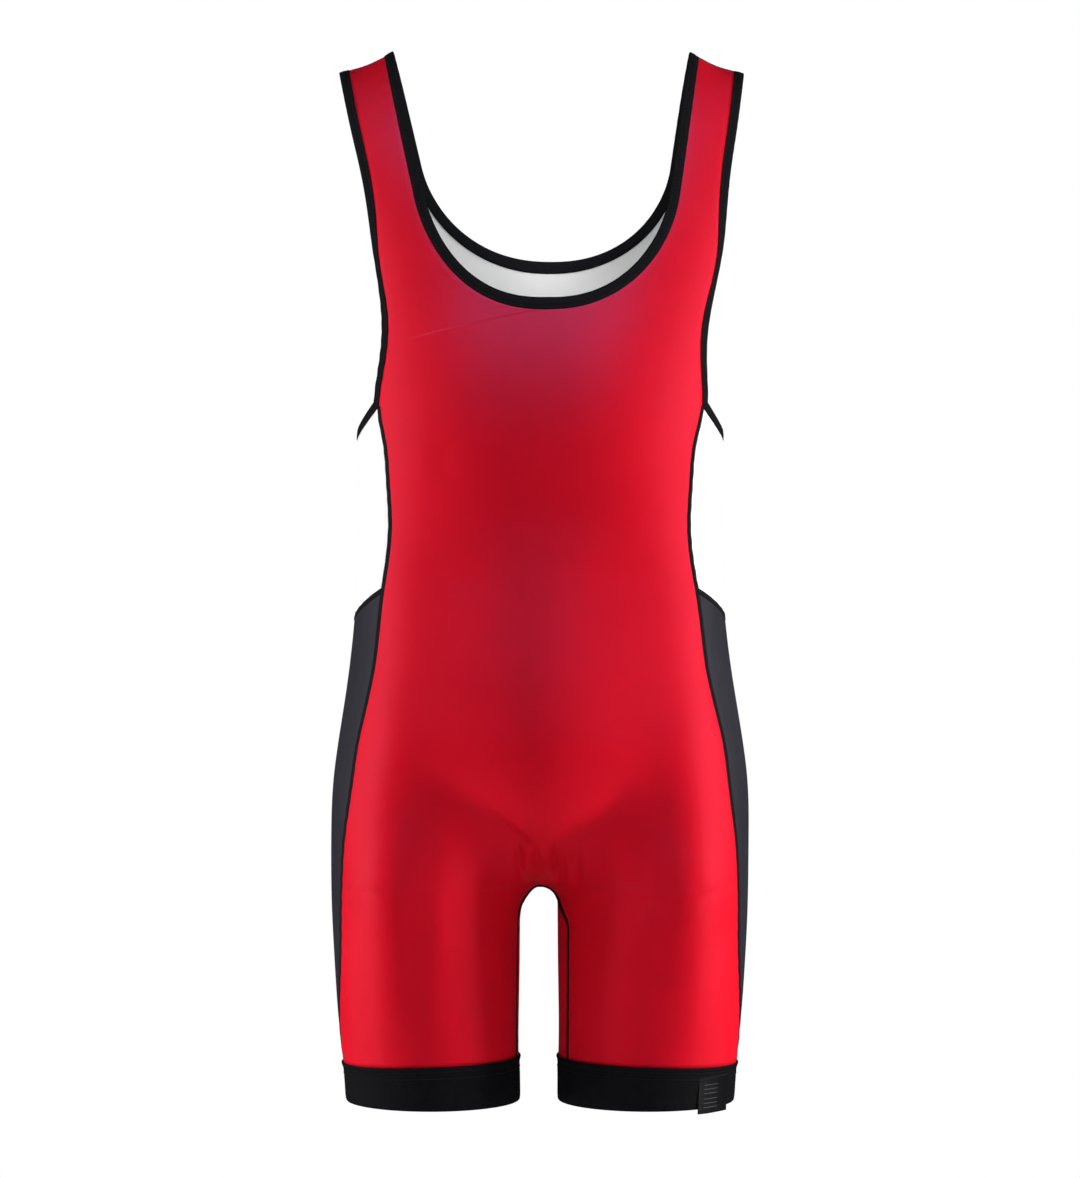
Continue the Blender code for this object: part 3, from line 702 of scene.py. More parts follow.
def shell(name, parts, open_rows, face_material, inner_material, thick=CLOTH):
    """Closed cloth of one thickness from one grid or more, open on column 0 in open_rows.

    The inner sheet is the face moved in by that thickness, and a rim joins the two along the free
    edges.
    """
    points, faces, places, slots = [], [], [], []
    start = 0
    for part in parts:
        face = part["face"]
        rows, columns = face.shape[:2]
        count = rows * columns
        points += [face.reshape(-1, 3), (face - part["out"] * thick).reshape(-1, 3)]
        quads = grid_faces(rows, columns)[0]
        number = np.arange(count).reshape(rows, columns)
        lines = [number[0], number[-1], number[:, -1]]
        free = np.array([r for r in range(rows - 1) if r not in open_rows])
        lines_from = np.concatenate([line[:-1] for line in lines] + [number[free, 0]])
        lines_to = np.concatenate([line[1:] for line in lines] + [number[free + 1, 0]])
        rim = np.stack([lines_from, lines_to, lines_to + count, lines_from + count], axis=-1)
        made = np.concatenate([quads, quads[:, ::-1] + count, rim])
        place = np.tile(part["map"].reshape(-1, 2), (2, 1))
        faces.append(made + start)
        places.append(place[made] * MM)
        slots.append(np.concatenate([np.zeros(len(quads), int), np.ones(len(quads) + len(rim), int)]))
        start += 2 * count
    piece = add_object(name, np.concatenate(points) * MM, np.concatenate(faces), np.concatenate(places))
    piece.data.materials.append(face_material)
    piece.data.materials.append(inner_material)
    piece.data.polygons.foreach_set("material_index", np.concatenate(slots))
    return piece


def new_group(name, inputs, outputs):
    """Node group with its inputs at their starting values, all numbers but Place, and its outputs."""
    group = bpy.data.node_groups.new(name, "ShaderNodeTree")
    for word, value in inputs.items():
        kind = "NodeSocketVector" if word == "Place" else "NodeSocketFloat"
        group.interface.new_socket(name=word, in_out="INPUT", socket_type=kind).default_value = value
    for word in outputs:
        group.interface.new_socket(name=word, in_out="OUTPUT", socket_type="NodeSocketFloat")
    return group


def knit_group():
    """Node group of a plain knit, from a map place and the widths of its wales and courses.

    Each wale is a rounded rib, 1 less the square of the distance from its middle. Its loops are
    sine waves along it that slope away from its middle, so that neighbouring loops meet as a V.
    Height is the relief, and Shade is painted shade, darker in the grooves between ribs.
    """
    group = new_group("plain knit", {"Place": (0.0, 0.0, 0.0), "Wale": WALE, "Course": COURSE},
                      ("Height", "Shade"))
    given = group.nodes.new("NodeGroupInput").outputs
    place = add_node(group, "SeparateXYZ", {0: given["Place"]}).outputs
    wale = math_node(group, "FRACT", math_node(group, "DIVIDE", place["X"], given["Wale"]))
    off = math_node(group, "ABSOLUTE", math_node(group, "SUBTRACT", wale, 0.5))
    off = math_node(group, "MULTIPLY", off, 2.0)
    rib = math_node(group, "SUBTRACT", 1.0, math_node(group, "MULTIPLY", off, off))
    course = math_node(group, "DIVIDE", place["Y"], given["Course"])
    slant = math_node(group, "MULTIPLY_ADD", off, LOOP_SLOPE, course)
    loop = math_node(group, "SINE", math_node(group, "MULTIPLY", slant, 2 * pi))
    loop = math_node(group, "MULTIPLY_ADD", loop, LOOP_DEPTH, 1 - LOOP_DEPTH)
    tall = math_node(group, "MULTIPLY", rib, loop)
    shade = math_node(group, "MULTIPLY_ADD", tall, 1 - RIB_SHADE, RIB_SHADE)
    feed(group, group.nodes.new("NodeGroupOutput"), {"Height": tall, "Shade": shade})
    return group


def variation_group():
    """Node group of slow and fine unevenness over a piece, from its Object coordinates.

    Slow is a soft noise some centimetres wide, as dye and tension vary, and Fine is a noise finer
    than a millimetre, as single fibres catch the light.
    """
    group = new_group("cloth variation", {}, ("Slow", "Fine"))
    where = add_node(group, "TexCoord", {}).outputs["Object"]
    slow = add_node(group, "TexNoise", {"Scale": 14.0, "Detail": 3.0, "Vector": where}).outputs["Fac"]
    fine = add_node(group, "TexNoise", {"Scale": 1600.0, "Detail": 2.0, "Vector": where}).outputs["Fac"]
    feed(group, group.nodes.new("NodeGroupOutput"), {"Slow": slow, "Fine": fine})
    return group


def emboss(tree, shader, height, relief, strength):
    """Bumps the shader's surface by a height, whose relief is in metres."""
    bump = add_node(tree, "Bump", {"Strength": strength, "Distance": relief, "Height": height})
    feed(tree, shader, {"Normal": bump.outputs["Normal"]})


def cloth_material(name, dark, light, relief, rough, sheen, gloss_tint, shine=0.1, painted_glow=0.0, wale=WALE,
                   course=COURSE):
    """Knitted cloth: colour between dark and light by the knit's shade and the variation.

    The relief and the widths of a wale and a course are in metres. The glow is painted light, a white
    emission from the cloth itself.
    """
    material, tree, shader = new_material(
        name, Emission_Color=WHITE, Emission_Strength=painted_glow, Specular_IOR_Level=shine, Sheen_Weight=sheen,
        Sheen_Roughness=0.4, Sheen_Tint=(*gloss_tint, 1.0), Specular_Tint=(*gloss_tint, 1.0))
    place = add_node(tree, "TexCoord", {}).outputs["UV"]
    vary = add_node(tree, "Group", {}, node_tree=variation).outputs
    sizes = {"Place": place, "Wale": wale, "Course": course}
    knit = add_node(tree, "Group", sizes, node_tree=plain_knit).outputs
    # The knit's Shade is painted shade in the grooves between ribs, mixed with random tone from the
    # variation.
    share = math_node(tree, "MULTIPLY_ADD", vary["Fine"], FINE_SHADE, knit["Shade"])
    share = math_node(tree, "SUBTRACT", share, (FINE_SHADE + SLOW_SHADE) / 2)
    tint(tree, shader, dark, light, math_node(tree, "MULTIPLY_ADD", vary["Slow"], SLOW_SHADE, share))
    rough = math_node(tree, "MULTIPLY_ADD", vary["Slow"], SLOW_ROUGH, rough - SLOW_ROUGH / 2)
    feed(tree, shader, {"Roughness": rough})
    tall = math_node(tree, "MULTIPLY_ADD", vary["Fine"], FINE_RELIEF, knit["Height"])
    emboss(tree, shader, tall, relief, CLOTH_BUMP)
    return material


plain_knit = knit_group()
variation = variation_group()
red_knit = cloth_material("red knit", dark=(0.62, 0.003, 0.011), light=(0.86, 0.006, 0.020), relief=0.00012,
                          rough=0.42, sheen=0.03, gloss_tint=(1.0, 0.33, 1.0), shine=0.08)
white_inside = cloth_material("white inner side", dark=(0.78, 0.78, 0.78), light=(0.9, 0.9, 0.9),
                              relief=0.0001, rough=0.65, sheen=0.1, gloss_tint=(1.0, 1.0, 1.0), shine=0.2)

mains = {(side, behind): main_half(side, behind) for side in (-1, 1) for behind in (False, True)}

for name, behind in (("front", False), ("back", True)):
    halves = [mains[side, behind] for side in (-1, 1)]
    piece = shell(name, halves, range(LEG_STEPS, halves[0]["neck_row"]), red_knit, white_inside)
    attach(piece, "root")
    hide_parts(f"{name}_panel")


# Side panels. Each side has a white panel from the armhole to the hip seam and a charcoal one from
# there to the leg band, both of the same knit as the front. They are sewn between front and back.

# The dips are how far the hip seam and the armhole's lower end hang down at the garment's side.
SIDE_COLUMNS = 56
HIP_DIP = 24.0
HIP_DIP_POWER = 1.6
ARM_DIP = 25.0
ARM_DIP_POWER = 2.4


def side_part(side, lower):
    """One side panel as a grid from the front seam to the back seam.

    Its end rows dip at the side by a power curve, and the rows between share the dip out.
    """
    seams = seam_levels()
    hip_row = LEG_STEPS + SEAT_STEPS
    base = seams[:hip_row + 1] if lower else seams[hip_row:]
    front = edge_share(base, False)
    back = edge_share(base, True)
    part = np.linspace(0, 1, SIDE_COLUMNS + 1)
    share = front[:, None] + (back - front)[:, None] * part
    hip_dip = HIP_DIP * (1 - np.abs(2 * part - 1) ** HIP_DIP_POWER)
    arm_dip = ARM_DIP * (1 - np.abs(2 * part - 1) ** ARM_DIP_POWER)
    up = ((base - base[0]) / (base[-1] - base[0]))[:, None]
    dip = hip_dip * up ** 3 if lower else hip_dip * (1 - up) + arm_dip * up
    level = base[:, None] - dip
    level = meet_band(share, level) if lower else level
    smooth = smooth_point(side, share, level)
    out = face_out(side, share, level)
    run = run_along(smooth)
    lift = fold_lift(side, share, level)
    lift += beside_seam(run, level[:, :1], seam_seed(side, False))
    lift += beside_seam(run[:, -1:] - run, level[:, -1:], seam_seed(side, True))
    inside = np.sin(pi * part)
    hip_row_levels = level[-1:] if lower else level[:1]
    lift += inside * beside_seam(np.abs(level - hip_row_levels), run, SEEDS["hip"] + side)
    if lower:
        above_band = level - level[:1]
        lift += inside * gathers(run, SEEDS["side band"] + side) * np.exp(-above_band / GATHER_FADE)
    else:
        lift += inside * beside_seam(level[-1:] - level, run, SEEDS["under arm"] + side)
    face = smooth + out * lift[..., None]
    return {"face": face, "out": out, "map": np.stack([run, level], axis=-1)}


# A painted glow, a faint white emission, makes the white knit brighter than its lighting alone would.
white_knit = cloth_material("white knit", dark=(0.91, 0.91, 0.915), light=(0.965, 0.965, 0.97),
                            relief=0.0001, rough=0.55, sheen=0.15, gloss_tint=(1.0, 1.0, 1.0), painted_glow=0.05)
charcoal_knit = cloth_material("charcoal knit", dark=(0.011, 0.010, 0.014), light=(0.027, 0.025, 0.033),
                               relief=0.00012, rough=0.5, sheen=0.05, gloss_tint=(0.8, 0.8, 0.95))

sides = {(side, lower): side_part(side, lower) for side in (-1, 1) for lower in (False, True)}

for side, word in SIDES:
    for lower, place in ((False, "upper"), (True, "lower")):
        knit = charcoal_knit if lower else white_knit
        piece = shell(f"{place}_side_{word}", [sides[side, lower]], (), knit, white_inside)
        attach(piece, "root")
        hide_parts(f"side_panel_{place}_{word}")


# Seams. The panels are joined by flat seams of black cover thread, about 4.5 mm wide: down both
# edges of the front and the back, across the hips, over the shoulders and inside the legs.

SEAM_HALF = 2.3
SEAM_TALL = 0.62
SEAM_UNDER = -0.35
SEAM_POINTS = 15
SEAM_BLUNT = 0.7
SEAM_STEP = 0.05
SEAM_BULK = 1.4
SEAM_BULK_SPAN = 16.0

# How the threads' sine is rounded, and how much it and the variation change colour, polish and relief. The
# sine paints shade into the hollows between threads.
THREAD_ROUNDING = 0.6
THREAD_FINE = 0.4
THREAD_SHADE = 0.8
THREAD_POLISH = 0.15
THREAD_BUMP = 0.8


def line_frame(line, out, closed):
    """Directions ahead along a line, across it and upright from it.

    Across is the cross product of out and ahead, and upright is that of ahead and across.
    """
    ahead = np.roll(line, -1, axis=0) - np.roll(line, 1, axis=0) if closed else np.gradient(line, axis=0)
    ahead = unit(ahead)
    across = unit(np.cross(out, ahead))
    return ahead, across, np.cross(ahead, across)


def curled(sideways, over, bend):
    """Distances sideways from a line and over it, turned about the line by an angle."""
    return sideways * np.cos(bend) + over * np.sin(bend), over * np.cos(bend) - sideways * np.sin(bend)


def strip(name, line, out, profile, closed, bend=0.0, grown=1.0):
    """Carries a closed profile along a line: across it by its first number, upright by its second.

    The profile can be bent by an angle and grown by a factor at each point of the line. The ends of
    an open strip close to a point. The map runs along the line and round the profile.
    """
    profile = np.array(profile, float)
    across, upright = line_frame(line, out, closed)[1:]
    sideways, over = curled(*profile.T, np.broadcast_to(bend, len(line))[:, None])
    sideways = sideways * np.reshape(grown, (-1, 1))
    over = over * np.reshape(grown, (-1, 1))
    rings = line[:, None] + across[:, None] * sideways[..., None] + upright[:, None] * over[..., None]
    if closed:
        run = line_run(around(line))
    else:
        tips = [ring.mean(axis=1, keepdims=True) + 0 * ring for ring in (rings[:1], rings[-1:])]
        rings = np.concatenate([tips[0], rings, tips[1]])
        run = line_run(np.concatenate([line[:1], line, line[-1:]]))
    faces, row, column = grid_faces(*rings.shape[:2], closed, True)
    places = np.stack([run[row], line_run(around(profile))[column]], axis=-1)
    return add_object(name, rings.reshape(-1, 3) * MM, faces, places * MM)


def seam_profile():
    """Low dome over a flat underside: half a turn whose sine is raised to a power."""
    turn = np.linspace(0, pi, SEAM_POINTS)
    dome = [(SEAM_HALF * np.cos(a), SEAM_TALL * np.sin(a) ** SEAM_BLUNT) for a in turn]
    return dome + [(-SEAM_HALF, SEAM_UNDER), (SEAM_HALF, SEAM_UNDER)]


def thread_material(name, dark, light, pitch, slope, relief, rough):
    """Threads laid side by side: a sine along the strip, slanted across it and rounded by a power.

    The pitch and the relief are in metres. The colour is painted darker in the hollows between threads, as
    shade, and also varies at random.
    """
    material, tree, shader = new_material(name, Specular_IOR_Level=0.03, Sheen_Weight=0.01)
    where = add_node(tree, "TexCoord", {}).outputs["UV"]
    place = add_node(tree, "SeparateXYZ", {0: where}).outputs
    vary = add_node(tree, "Group", {}, node_tree=variation).outputs
    lean = math_node(tree, "MULTIPLY_ADD", place["Y"], slope, place["X"])
    wave = math_node(tree, "SINE", math_node(tree, "MULTIPLY", lean, 2 * pi / pitch))
    tall = math_node(tree, "POWER", math_node(tree, "MULTIPLY_ADD", wave, 0.5, 0.5), THREAD_ROUNDING)
    uneven = math_node(tree, "MULTIPLY_ADD", vary["Fine"], THREAD_FINE, tall)
    tint(tree, shader, dark, light, math_node(tree, "MULTIPLY", uneven, THREAD_SHADE))
    feed(tree, shader, {"Roughness": math_node(tree, "MULTIPLY_ADD", tall, -THREAD_POLISH, rough)})
    emboss(tree, shader, uneven, relief, THREAD_BUMP)
    return material


seam_thread = thread_material("black cover thread", dark=(0.003, 0.003, 0.004), light=(0.014, 0.014, 0.017),
                              pitch=0.0009, slope=0.35, relief=0.0003, rough=0.62)


def edge_of(part, rows, columns):
    """Points and directions out along one edge of a grid."""
    return part["face"][rows, columns], part["out"][rows, columns]


def seam(name, line, out, bulk=0.0):
    """One flat seam along a line, without the points that lie nearly on the one before.

    Its bulk says how much thicker it is at the height of the crotch, where seams meet.
    """
    kept = np.concatenate([[True], np.linalg.norm(np.diff(line, axis=0), axis=1) > SEAM_STEP])
    line, out = line[kept], out[kept]
    grown = 1 + bulk * np.exp(-((line[:, 2] - CROTCH_Z) / SEAM_BULK_SPAN) ** 2)
    piece = strip(name, line, out, seam_profile(), False, grown=grown)
    piece.data.materials.append(seam_thread)
    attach(piece, "root")


fork_row = LEG_STEPS + SEAT_STEPS + WAIST_STEPS
for side, word in SIDES:
    for behind, place in ((False, "front"), (True, "back")):
        seam(f"{place}_side_seam_{word}", *edge_of(mains[side, behind], slice(fork_row + 1), -1))
    seam(f"hip_seam_{word}", *edge_of(sides[side, True], -1, slice(None)))
    seam(f"shoulder_seam_{word}", *edge_of(mains[side, False], -1, slice(None)))


# How far forward the seam inside the legs comes at the crotch, and how far below it the legs have parted.
INSEAM_FORWARD = 8.0
INSEAM_FORWARD_SPAN = 20.0
PARTED = 0.5


def inseam_half(side):
    """Seam inside one leg, from the band to the crotch, and the directions out of the cloth there.

    It lies on the cloth's edge and comes forward along the face in a bell near the crotch. At the
    crotch the direction is read just below it, where the two legs have begun to part.
    """
    half = mains[side, False]
    line, share = [], []
    for face, shares, level in zip(half["face"][:LEG_STEPS + 1], half["share"], half["level"]):
        run = line_run(face)
        forward = INSEAM_FORWARD * np.exp(-((CROTCH_Z - level[0]) / INSEAM_FORWARD_SPAN) ** 2)
        line.append([np.interp(forward, run, face[:, axis]) for axis in range(3)])
        share.append(np.interp(forward, run, shares))
    level = np.minimum(half["level"][:LEG_STEPS + 1, 0], CROTCH_Z - PARTED)
    return np.array(line), face_out(side, np.array(share), level)


left_line, left_out = inseam_half(-1)
right_line, right_out = inseam_half(1)
crotch_point = (left_line[-1:] + right_line[-1:]) / 2
crotch_out = unit(left_out[-1:] + right_out[-1:])
seam("inseam", np.concatenate([left_line, crotch_point, right_line[::-1]]),
     np.concatenate([left_out, crotch_out, right_out[::-1]]), SEAM_BULK)


# Bindings. A strip of black rib knit is folded over the raw edge of the neck opening and of each
# armhole, and held by two rows of stitches through all its layers. An armhole's binding curls in.

# Across the cloth's edge from far to near, out of the cloth from face to back, and the curl in degrees.
BINDING_FAR = 8.3
BINDING_NEAR = -0.5
LEAF = 0.7
FACE_TALL = 0.78
BACK_TALL = -1.75
CURL = 6.0
CURL_MORE = 20.0
CURL_Z = -178.0
CURL_SPAN = 34.0

# The round fold, the slot that holds the cloth, and the outer leaf's crown, grooves and sinking edge.
FOLD_ROUND = 1.3
SLOT_END = 5.6
CROWN = 0.14
GROOVE = 0.2
GROOVE_HALF = 0.55
EDGE_SINKS = 0.4
EDGE_SINKS_OVER = 0.35
BINDING_FACE_POINTS = 23
BINDING_FOLD_POINTS = 11

# Two rows of stitches. A thread is a spindle: places along it and how thick it is there, as shares.
STITCH_ROWS = (1.7, 6.3)
STITCH_LENGTH = 2.1
STITCH_PITCH = 2.7
STITCH_HALF_WIDTH = 0.27
STITCH_FLATNESS = 0.8
STITCH_SIDES = 6
STITCH_SUNK = 0.1
STITCH_DIP = 0.1
SPINDLE_ALONG = (-1.0, -0.8, -0.3, 0.3, 0.8, 1.0)
SPINDLE_THICK = (0.0, 0.7, 1.0, 1.0, 0.7, 0.0)
THREAD_MAP_STEP = 0.3


def binding_profile():
    """Folded strip: an outer leaf with two stitched grooves, a round fold and an inner leaf.

    The outer leaf rises by half a sine between the grooves, which are bells, and sinks at its edge.
    """
    fold_from = BINDING_FAR - FOLD_ROUND
    first, second = STITCH_ROWS
    across = np.linspace(BINDING_NEAR, fold_from, BINDING_FACE_POINTS)
    groove = GROOVE * sum(np.exp(-((across - row) / GROOVE_HALF) ** 2) for row in STITCH_ROWS)
    crown = CROWN * np.sin(pi * np.clip((across - first) / (second - first), 0, 1))
    sunk = EDGE_SINKS * np.exp(-((across - BINDING_NEAR) / EDGE_SINKS_OVER) ** 2)
    outer = list(zip(across, FACE_TALL + crown - groove - sunk))
    turn = np.linspace(pi / 2, -pi / 2, BINDING_FOLD_POINTS)[1:-1]
    middle = (FACE_TALL + BACK_TALL) / 2
    tall = (FACE_TALL - BACK_TALL) / 2
    fold = [(fold_from + FOLD_ROUND * np.cos(a), middle + tall * np.sin(a)) for a in turn]
    back = [(fold_from, BACK_TALL), (4.0, BACK_TALL - 0.05), (1.0, BACK_TALL),
            (BINDING_NEAR, BACK_TALL + 0.2)]
    inside = [(BINDING_NEAR, BACK_TALL + LEAF), (1.0, BACK_TALL + LEAF), (SLOT_END, BACK_TALL + LEAF),
              (SLOT_END + 0.5, middle), (SLOT_END, FACE_TALL - LEAF), (1.0, FACE_TALL - LEAF),
              (BINDING_NEAR, FACE_TALL - LEAF)]
    return outer + fold + back + inside


def edge_curl(height):
    """Angle by which an armhole's binding curls in: a little everywhere, and a bell beside the chest."""
    bell = np.exp(-((height - CURL_Z) / CURL_SPAN) ** 2)
    return np.radians(CURL + CURL_MORE * bell)


def stitches(name, line, out, away, over, bend=0.0, grown=1.0):
    """Row of short threads along a closed line, each a spindle with round ends.

    They lie as far away from the line and over the cloth as the numbers say, with the same bend and
    growth as a strip, and each thread dips into the cloth towards its ends by a square.
    """
    ahead, across, upright = (around(direction) for direction in line_frame(line, out, True))
    bend, grown = (around(np.broadcast_to(value, len(line)))[:, None] for value in (bend, grown))
    away, over = curled(away, over, bend)
    path = around(line) + (across * away + upright * over) * grown
    run = line_run(path)
    count = int(run[-1] // STITCH_PITCH)
    at = (np.arange(count) + 0.5) * run[-1] / count
    centre, ahead, across, upright = (
        np.stack([np.interp(at, run, field[:, axis]) for axis in range(3)], axis=-1)[:, None, None]
        for field in (path, ahead, across, upright))
    along = np.array(SPINDLE_ALONG)[:, None]
    thick = np.array(SPINDLE_THICK)[:, None] * STITCH_HALF_WIDTH
    turn = np.linspace(0, 2 * pi, STITCH_SIDES, endpoint=False)
    sideways = (thick * np.cos(turn))[None, ..., None]
    up = (STITCH_FLATNESS * thick * np.sin(turn) - STITCH_DIP * along ** 2)[None, ..., None]
    forward = (along * STITCH_LENGTH / 2 + 0 * turn)[None, ..., None]
    points = centre + forward * ahead + sideways * across + up * upright
    one, row, column = grid_faces(len(along), STITCH_SIDES, False, True)
    faces = (one[None] + (np.arange(count) * forward.size)[:, None, None]).reshape(-1, 4)
    places = np.stack([along[row, 0] * STITCH_LENGTH / 2, column * THREAD_MAP_STEP], axis=-1)
    piece = add_object(name, points.reshape(-1, 3) * MM, faces, np.tile(places, (count, 1, 1)) * MM)
    piece.data.materials.append(stitch_thread)
    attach(piece, "root")
    return piece


binding_knit = cloth_material("black rib binding", dark=(0.003, 0.003, 0.004), light=(0.011, 0.011, 0.013),
                              wale=0.0009, course=0.0008, relief=0.00018, rough=0.62, sheen=0.01,
                              gloss_tint=(0.8, 0.85, 1.0), shine=0.015)
stitch_thread = thread_material("black stitch thread", dark=(0.004, 0.004, 0.006),
                                light=(0.022, 0.022, 0.026), pitch=0.0005, slope=0.6, relief=0.0001,
                                rough=0.5)

# The neck's binding is a fifth wider at the lowest part of the front and the back.
NECK_GROWN = 0.2
NECK_GROWN_SPAN = 60.0


def bind(name, line, out, node, bend, grown=1.0):
    """Folded binding round a closed edge, and its two rows of stitches."""
    piece = strip(name, line, out, binding_profile(), True, bend, grown)
    piece.data.materials.append(binding_knit)
    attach(piece, "root")
    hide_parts(node)
    rows = [stitches(f"{name}_stitches_{n + 1}", line, out, row, FACE_TALL - STITCH_SUNK,
                     bend, grown) for n, row in enumerate(STITCH_ROWS)]


neck = []
for side, behind, backwards in ((1, False, False), (1, True, True), (-1, True, False), (-1, False, True)):
    half = mains[side, behind]
    edge = edge_of(half, slice(half["neck_row"], None), 0)
    neck.append([values[::-1][:-1] if backwards else values[:-1] for values in edge])
line, out = (np.concatenate(stretches) for stretches in zip(*neck))
grown = 1 + NECK_GROWN * np.exp(-(line[:, 0] / NECK_GROWN_SPAN) ** 2)
bind("neck_edge", line, out, "neck_binding", np.zeros(len(line)), grown)

for side, word in SIDES:
    front, back = (edge_of(mains[side, behind], slice(fork_row, None), -1) for behind in (False, True))
    under = edge_of(sides[side, False], -1, slice(1, -1))
    line, out = (np.concatenate([f[::-1], u, b[:-1]])[::side] for f, u, b in zip(front, under, back))
    bind(f"armhole_edge_{word}", line, out, f"armhole_binding_{word}", edge_curl(line[:, 2]))


# Leg bands. Each leg ends in a wide black knitted elastic, sewn round the cloth's edge with two rows
# of stitches. Its top edge stands a little proud, and its face has fine ribs round the leg.

BAND_SHARES = 240
BAND_OUT = 0.82
BAND_SWELL = 0.05
BAND_SWELL_TURNS = 9
BAND_STITCHES = (3.2, 8.6)
BAND_STITCHES_OUT = 0.95

# The ring of the profile whose run gives the map.
BAND_MAP_RING = 9


def band_profile():
    """Section of the band: how far out, the share of its height, and millimetres added to that.

    Below the stitches its face swells in and out by a sine of its height.
    """
    face = [(1.5, 1.0, 0.7), (1.8, 1.0, 0.2), (1.75, 1.0, -0.7), (1.35, 1.0, -2.0), (0.95, 1.0, -3.4),
            (0.78, 1.0, -5.0), (0.85, 1.0, -6.6), (0.72, 1.0, -8.6), (0.86, 1.0, -10.6)]
    low_shares = np.linspace(0.6, 0.12, 12)
    face += [(BAND_OUT + BAND_SWELL * np.sin(BAND_SWELL_TURNS * s), s, 0.0) for s in low_shares]
    hem = [(0.7, 0.0, 2.0), (0.55, 0.0, 0.8), (0.1, 0.0, 0.1), (-0.7, 0.0, 0.0), (-1.4, 0.0, 0.2),
           (-1.9, 0.0, 1.0), (-2.1, 0.0, 2.4)]
    inside = [(-2.1, s, 0.0) for s in np.linspace(0.2, 0.85, 8)]
    lip = [(-1.9, 1.0, -0.5), (-1.5, 1.0, 0.5), (0.0, 1.0, 0.8)]
    return face + hem + inside + lip


def leg_ring(side, share, level, away, lifted):
    """Points of the leg's form at a level, moved out by a distance and by a share of the folds' lift."""
    distance = away + lifted * fold_lift(side, share, level)
    return smooth_point(side, share, level) + face_out(side, share, level) * distance[:, None]


elastic = cloth_material("black elastic", dark=(0.003, 0.003, 0.004), light=(0.010, 0.010, 0.012),
                         wale=0.0011, course=0.0016, relief=0.00022, rough=0.6, sheen=0.01,
                         gloss_tint=(0.8, 0.85, 1.0), shine=0.015)

share = np.arange(BAND_SHARES) / BAND_SHARES
top = band_top(share)
for side, word in SIDES:
    rings = np.stack([leg_ring(side, share, HEM_Z + (top - HEM_Z) * part + more, away, part ** 2)
                      for away, part, more in band_profile()])
    faces, row, column = grid_faces(*rings.shape[:2], True, True)
    run = line_run(around(rings[BAND_MAP_RING]))
    places = np.stack([run[column], line_run(around(rings[:, 0]))[row]], axis=-1)
    piece = add_object(f"leg_elastic_{word}", rings.reshape(-1, 3) * MM, faces, places * MM)
    piece.data.materials.append(elastic)
    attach(piece, "root")
    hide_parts(f"leg_band_{word}")
    for number, down in enumerate(BAND_STITCHES):
        line = leg_ring(side, share, top - down, 0.0, 1.0)
        out = face_out(side, share, top - down)
        name = f"leg_elastic_{word}_stitches_{number + 1}"
        stitches(name, line, out, 0.0, BAND_STITCHES_OUT)


# Woven tab. A small black satin tab is sewn to the outside of the band of the leg at +X, and its
# lower end hangs just past the hem. It is plain but for a few pale woven stripes.

TAB_FROM = 0.341
TAB_TO = 0.417
TAB_TOP_Z = -844.5
TAB_END_Z = HEM_Z - 3.4
TAB_FOOT = 1.0
TAB_LIFTS = 0.9
TAB_LIFT_POWER = 2.5
TAB_WAVE = 0.25
TAB_WAVE_SHIFT = 0.6
TAB_THICK = 0.45
TAB_ROWS = 40
TAB_COLUMNS = 36

# The tab's width, its weave and its stripes, in metres.
TAB_WIDE = 0.027
SATIN_PITCH = 0.0005
SATIN_RELIEF = 0.00008
SATIN_BLACK = (0.005, 0.005, 0.006)
STRIPE_PALE = (0.13, 0.13, 0.14)
STRIPES_AT = (0.0050, 0.0085, 0.0120, 0.0165, 0.0200, 0.0235)
STRIPE_HALF_WIDTH = 0.00024
STRIPE_LONG = 0.0156
STRIPE_RAISED = 1.5

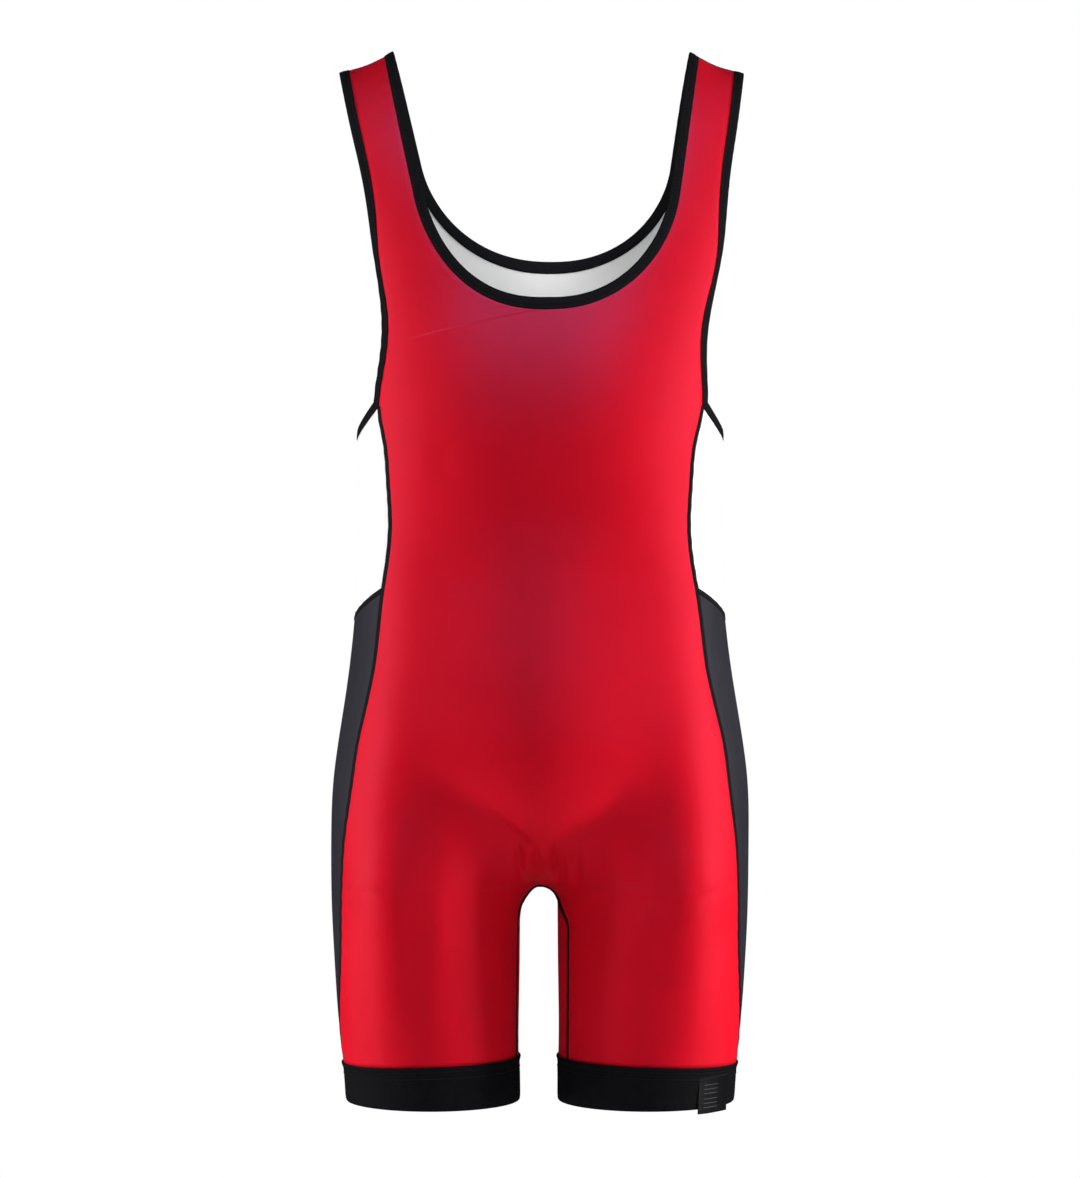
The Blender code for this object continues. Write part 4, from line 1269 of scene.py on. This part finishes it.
# Towards its lower end the tab lifts off the band by a power and waves by a sine.
up, across = np.meshgrid(np.linspace(0, 1, TAB_ROWS), np.linspace(0, 1, TAB_COLUMNS), indexing="ij")
share = TAB_FROM + (TAB_TO - TAB_FROM) * across
level = TAB_END_Z + (TAB_TOP_Z - TAB_END_Z) * up
smooth = smooth_point(1, share, level)
out = face_out(1, share, level)
wave = TAB_WAVE * np.sin(2 * pi * across + TAB_WAVE_SHIFT) * (1 - up)
hang = TAB_FOOT + TAB_LIFTS * (1 - up) ** TAB_LIFT_POWER + wave
face = smooth + out * (hang + TAB_THICK)[..., None]
tab_map = np.stack([run_along(smooth), level - TAB_END_Z], axis=-1)


def tab_material():
    """Satin weave with short pale stripes across the middle of the tab, set by its map."""
    material, tree, shader = new_material("black satin tab", Roughness=0.4, Specular_IOR_Level=0.1)
    where = add_node(tree, "TexCoord", {}).outputs["UV"]
    place = add_node(tree, "SeparateXYZ", {0: where}).outputs
    vary = add_node(tree, "Group", {}, node_tree=variation).outputs
    stripe = 0.0
    for height in STRIPES_AT:
        line = math_node(tree, "COMPARE", place["Y"], height, STRIPE_HALF_WIDTH)
        stripe = math_node(tree, "ADD", stripe, line)
    ends = math_node(tree, "COMPARE", place["X"], TAB_WIDE / 2, STRIPE_LONG / 2)
    stripe = math_node(tree, "MULTIPLY", stripe, ends)
    slant = math_node(tree, "ADD", place["X"], place["Y"])
    weave = math_node(tree, "SINE", math_node(tree, "MULTIPLY", slant, 2 * pi / SATIN_PITCH))
    uneven = math_node(tree, "MULTIPLY_ADD", vary["Fine"], 0.5, 0.5)
    tint(tree, shader, SATIN_BLACK, STRIPE_PALE, math_node(tree, "MULTIPLY", stripe, uneven))
    tall = math_node(tree, "MULTIPLY_ADD", stripe, STRIPE_RAISED, weave)
    emboss(tree, shader, tall, SATIN_RELIEF, CLOTH_BUMP)
    return material


satin = tab_material()
tab = shell("woven_tab", [{"face": face, "out": out, "map": tab_map}], (), satin, satin, TAB_THICK)
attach(tab, "root")
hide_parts("care_label")
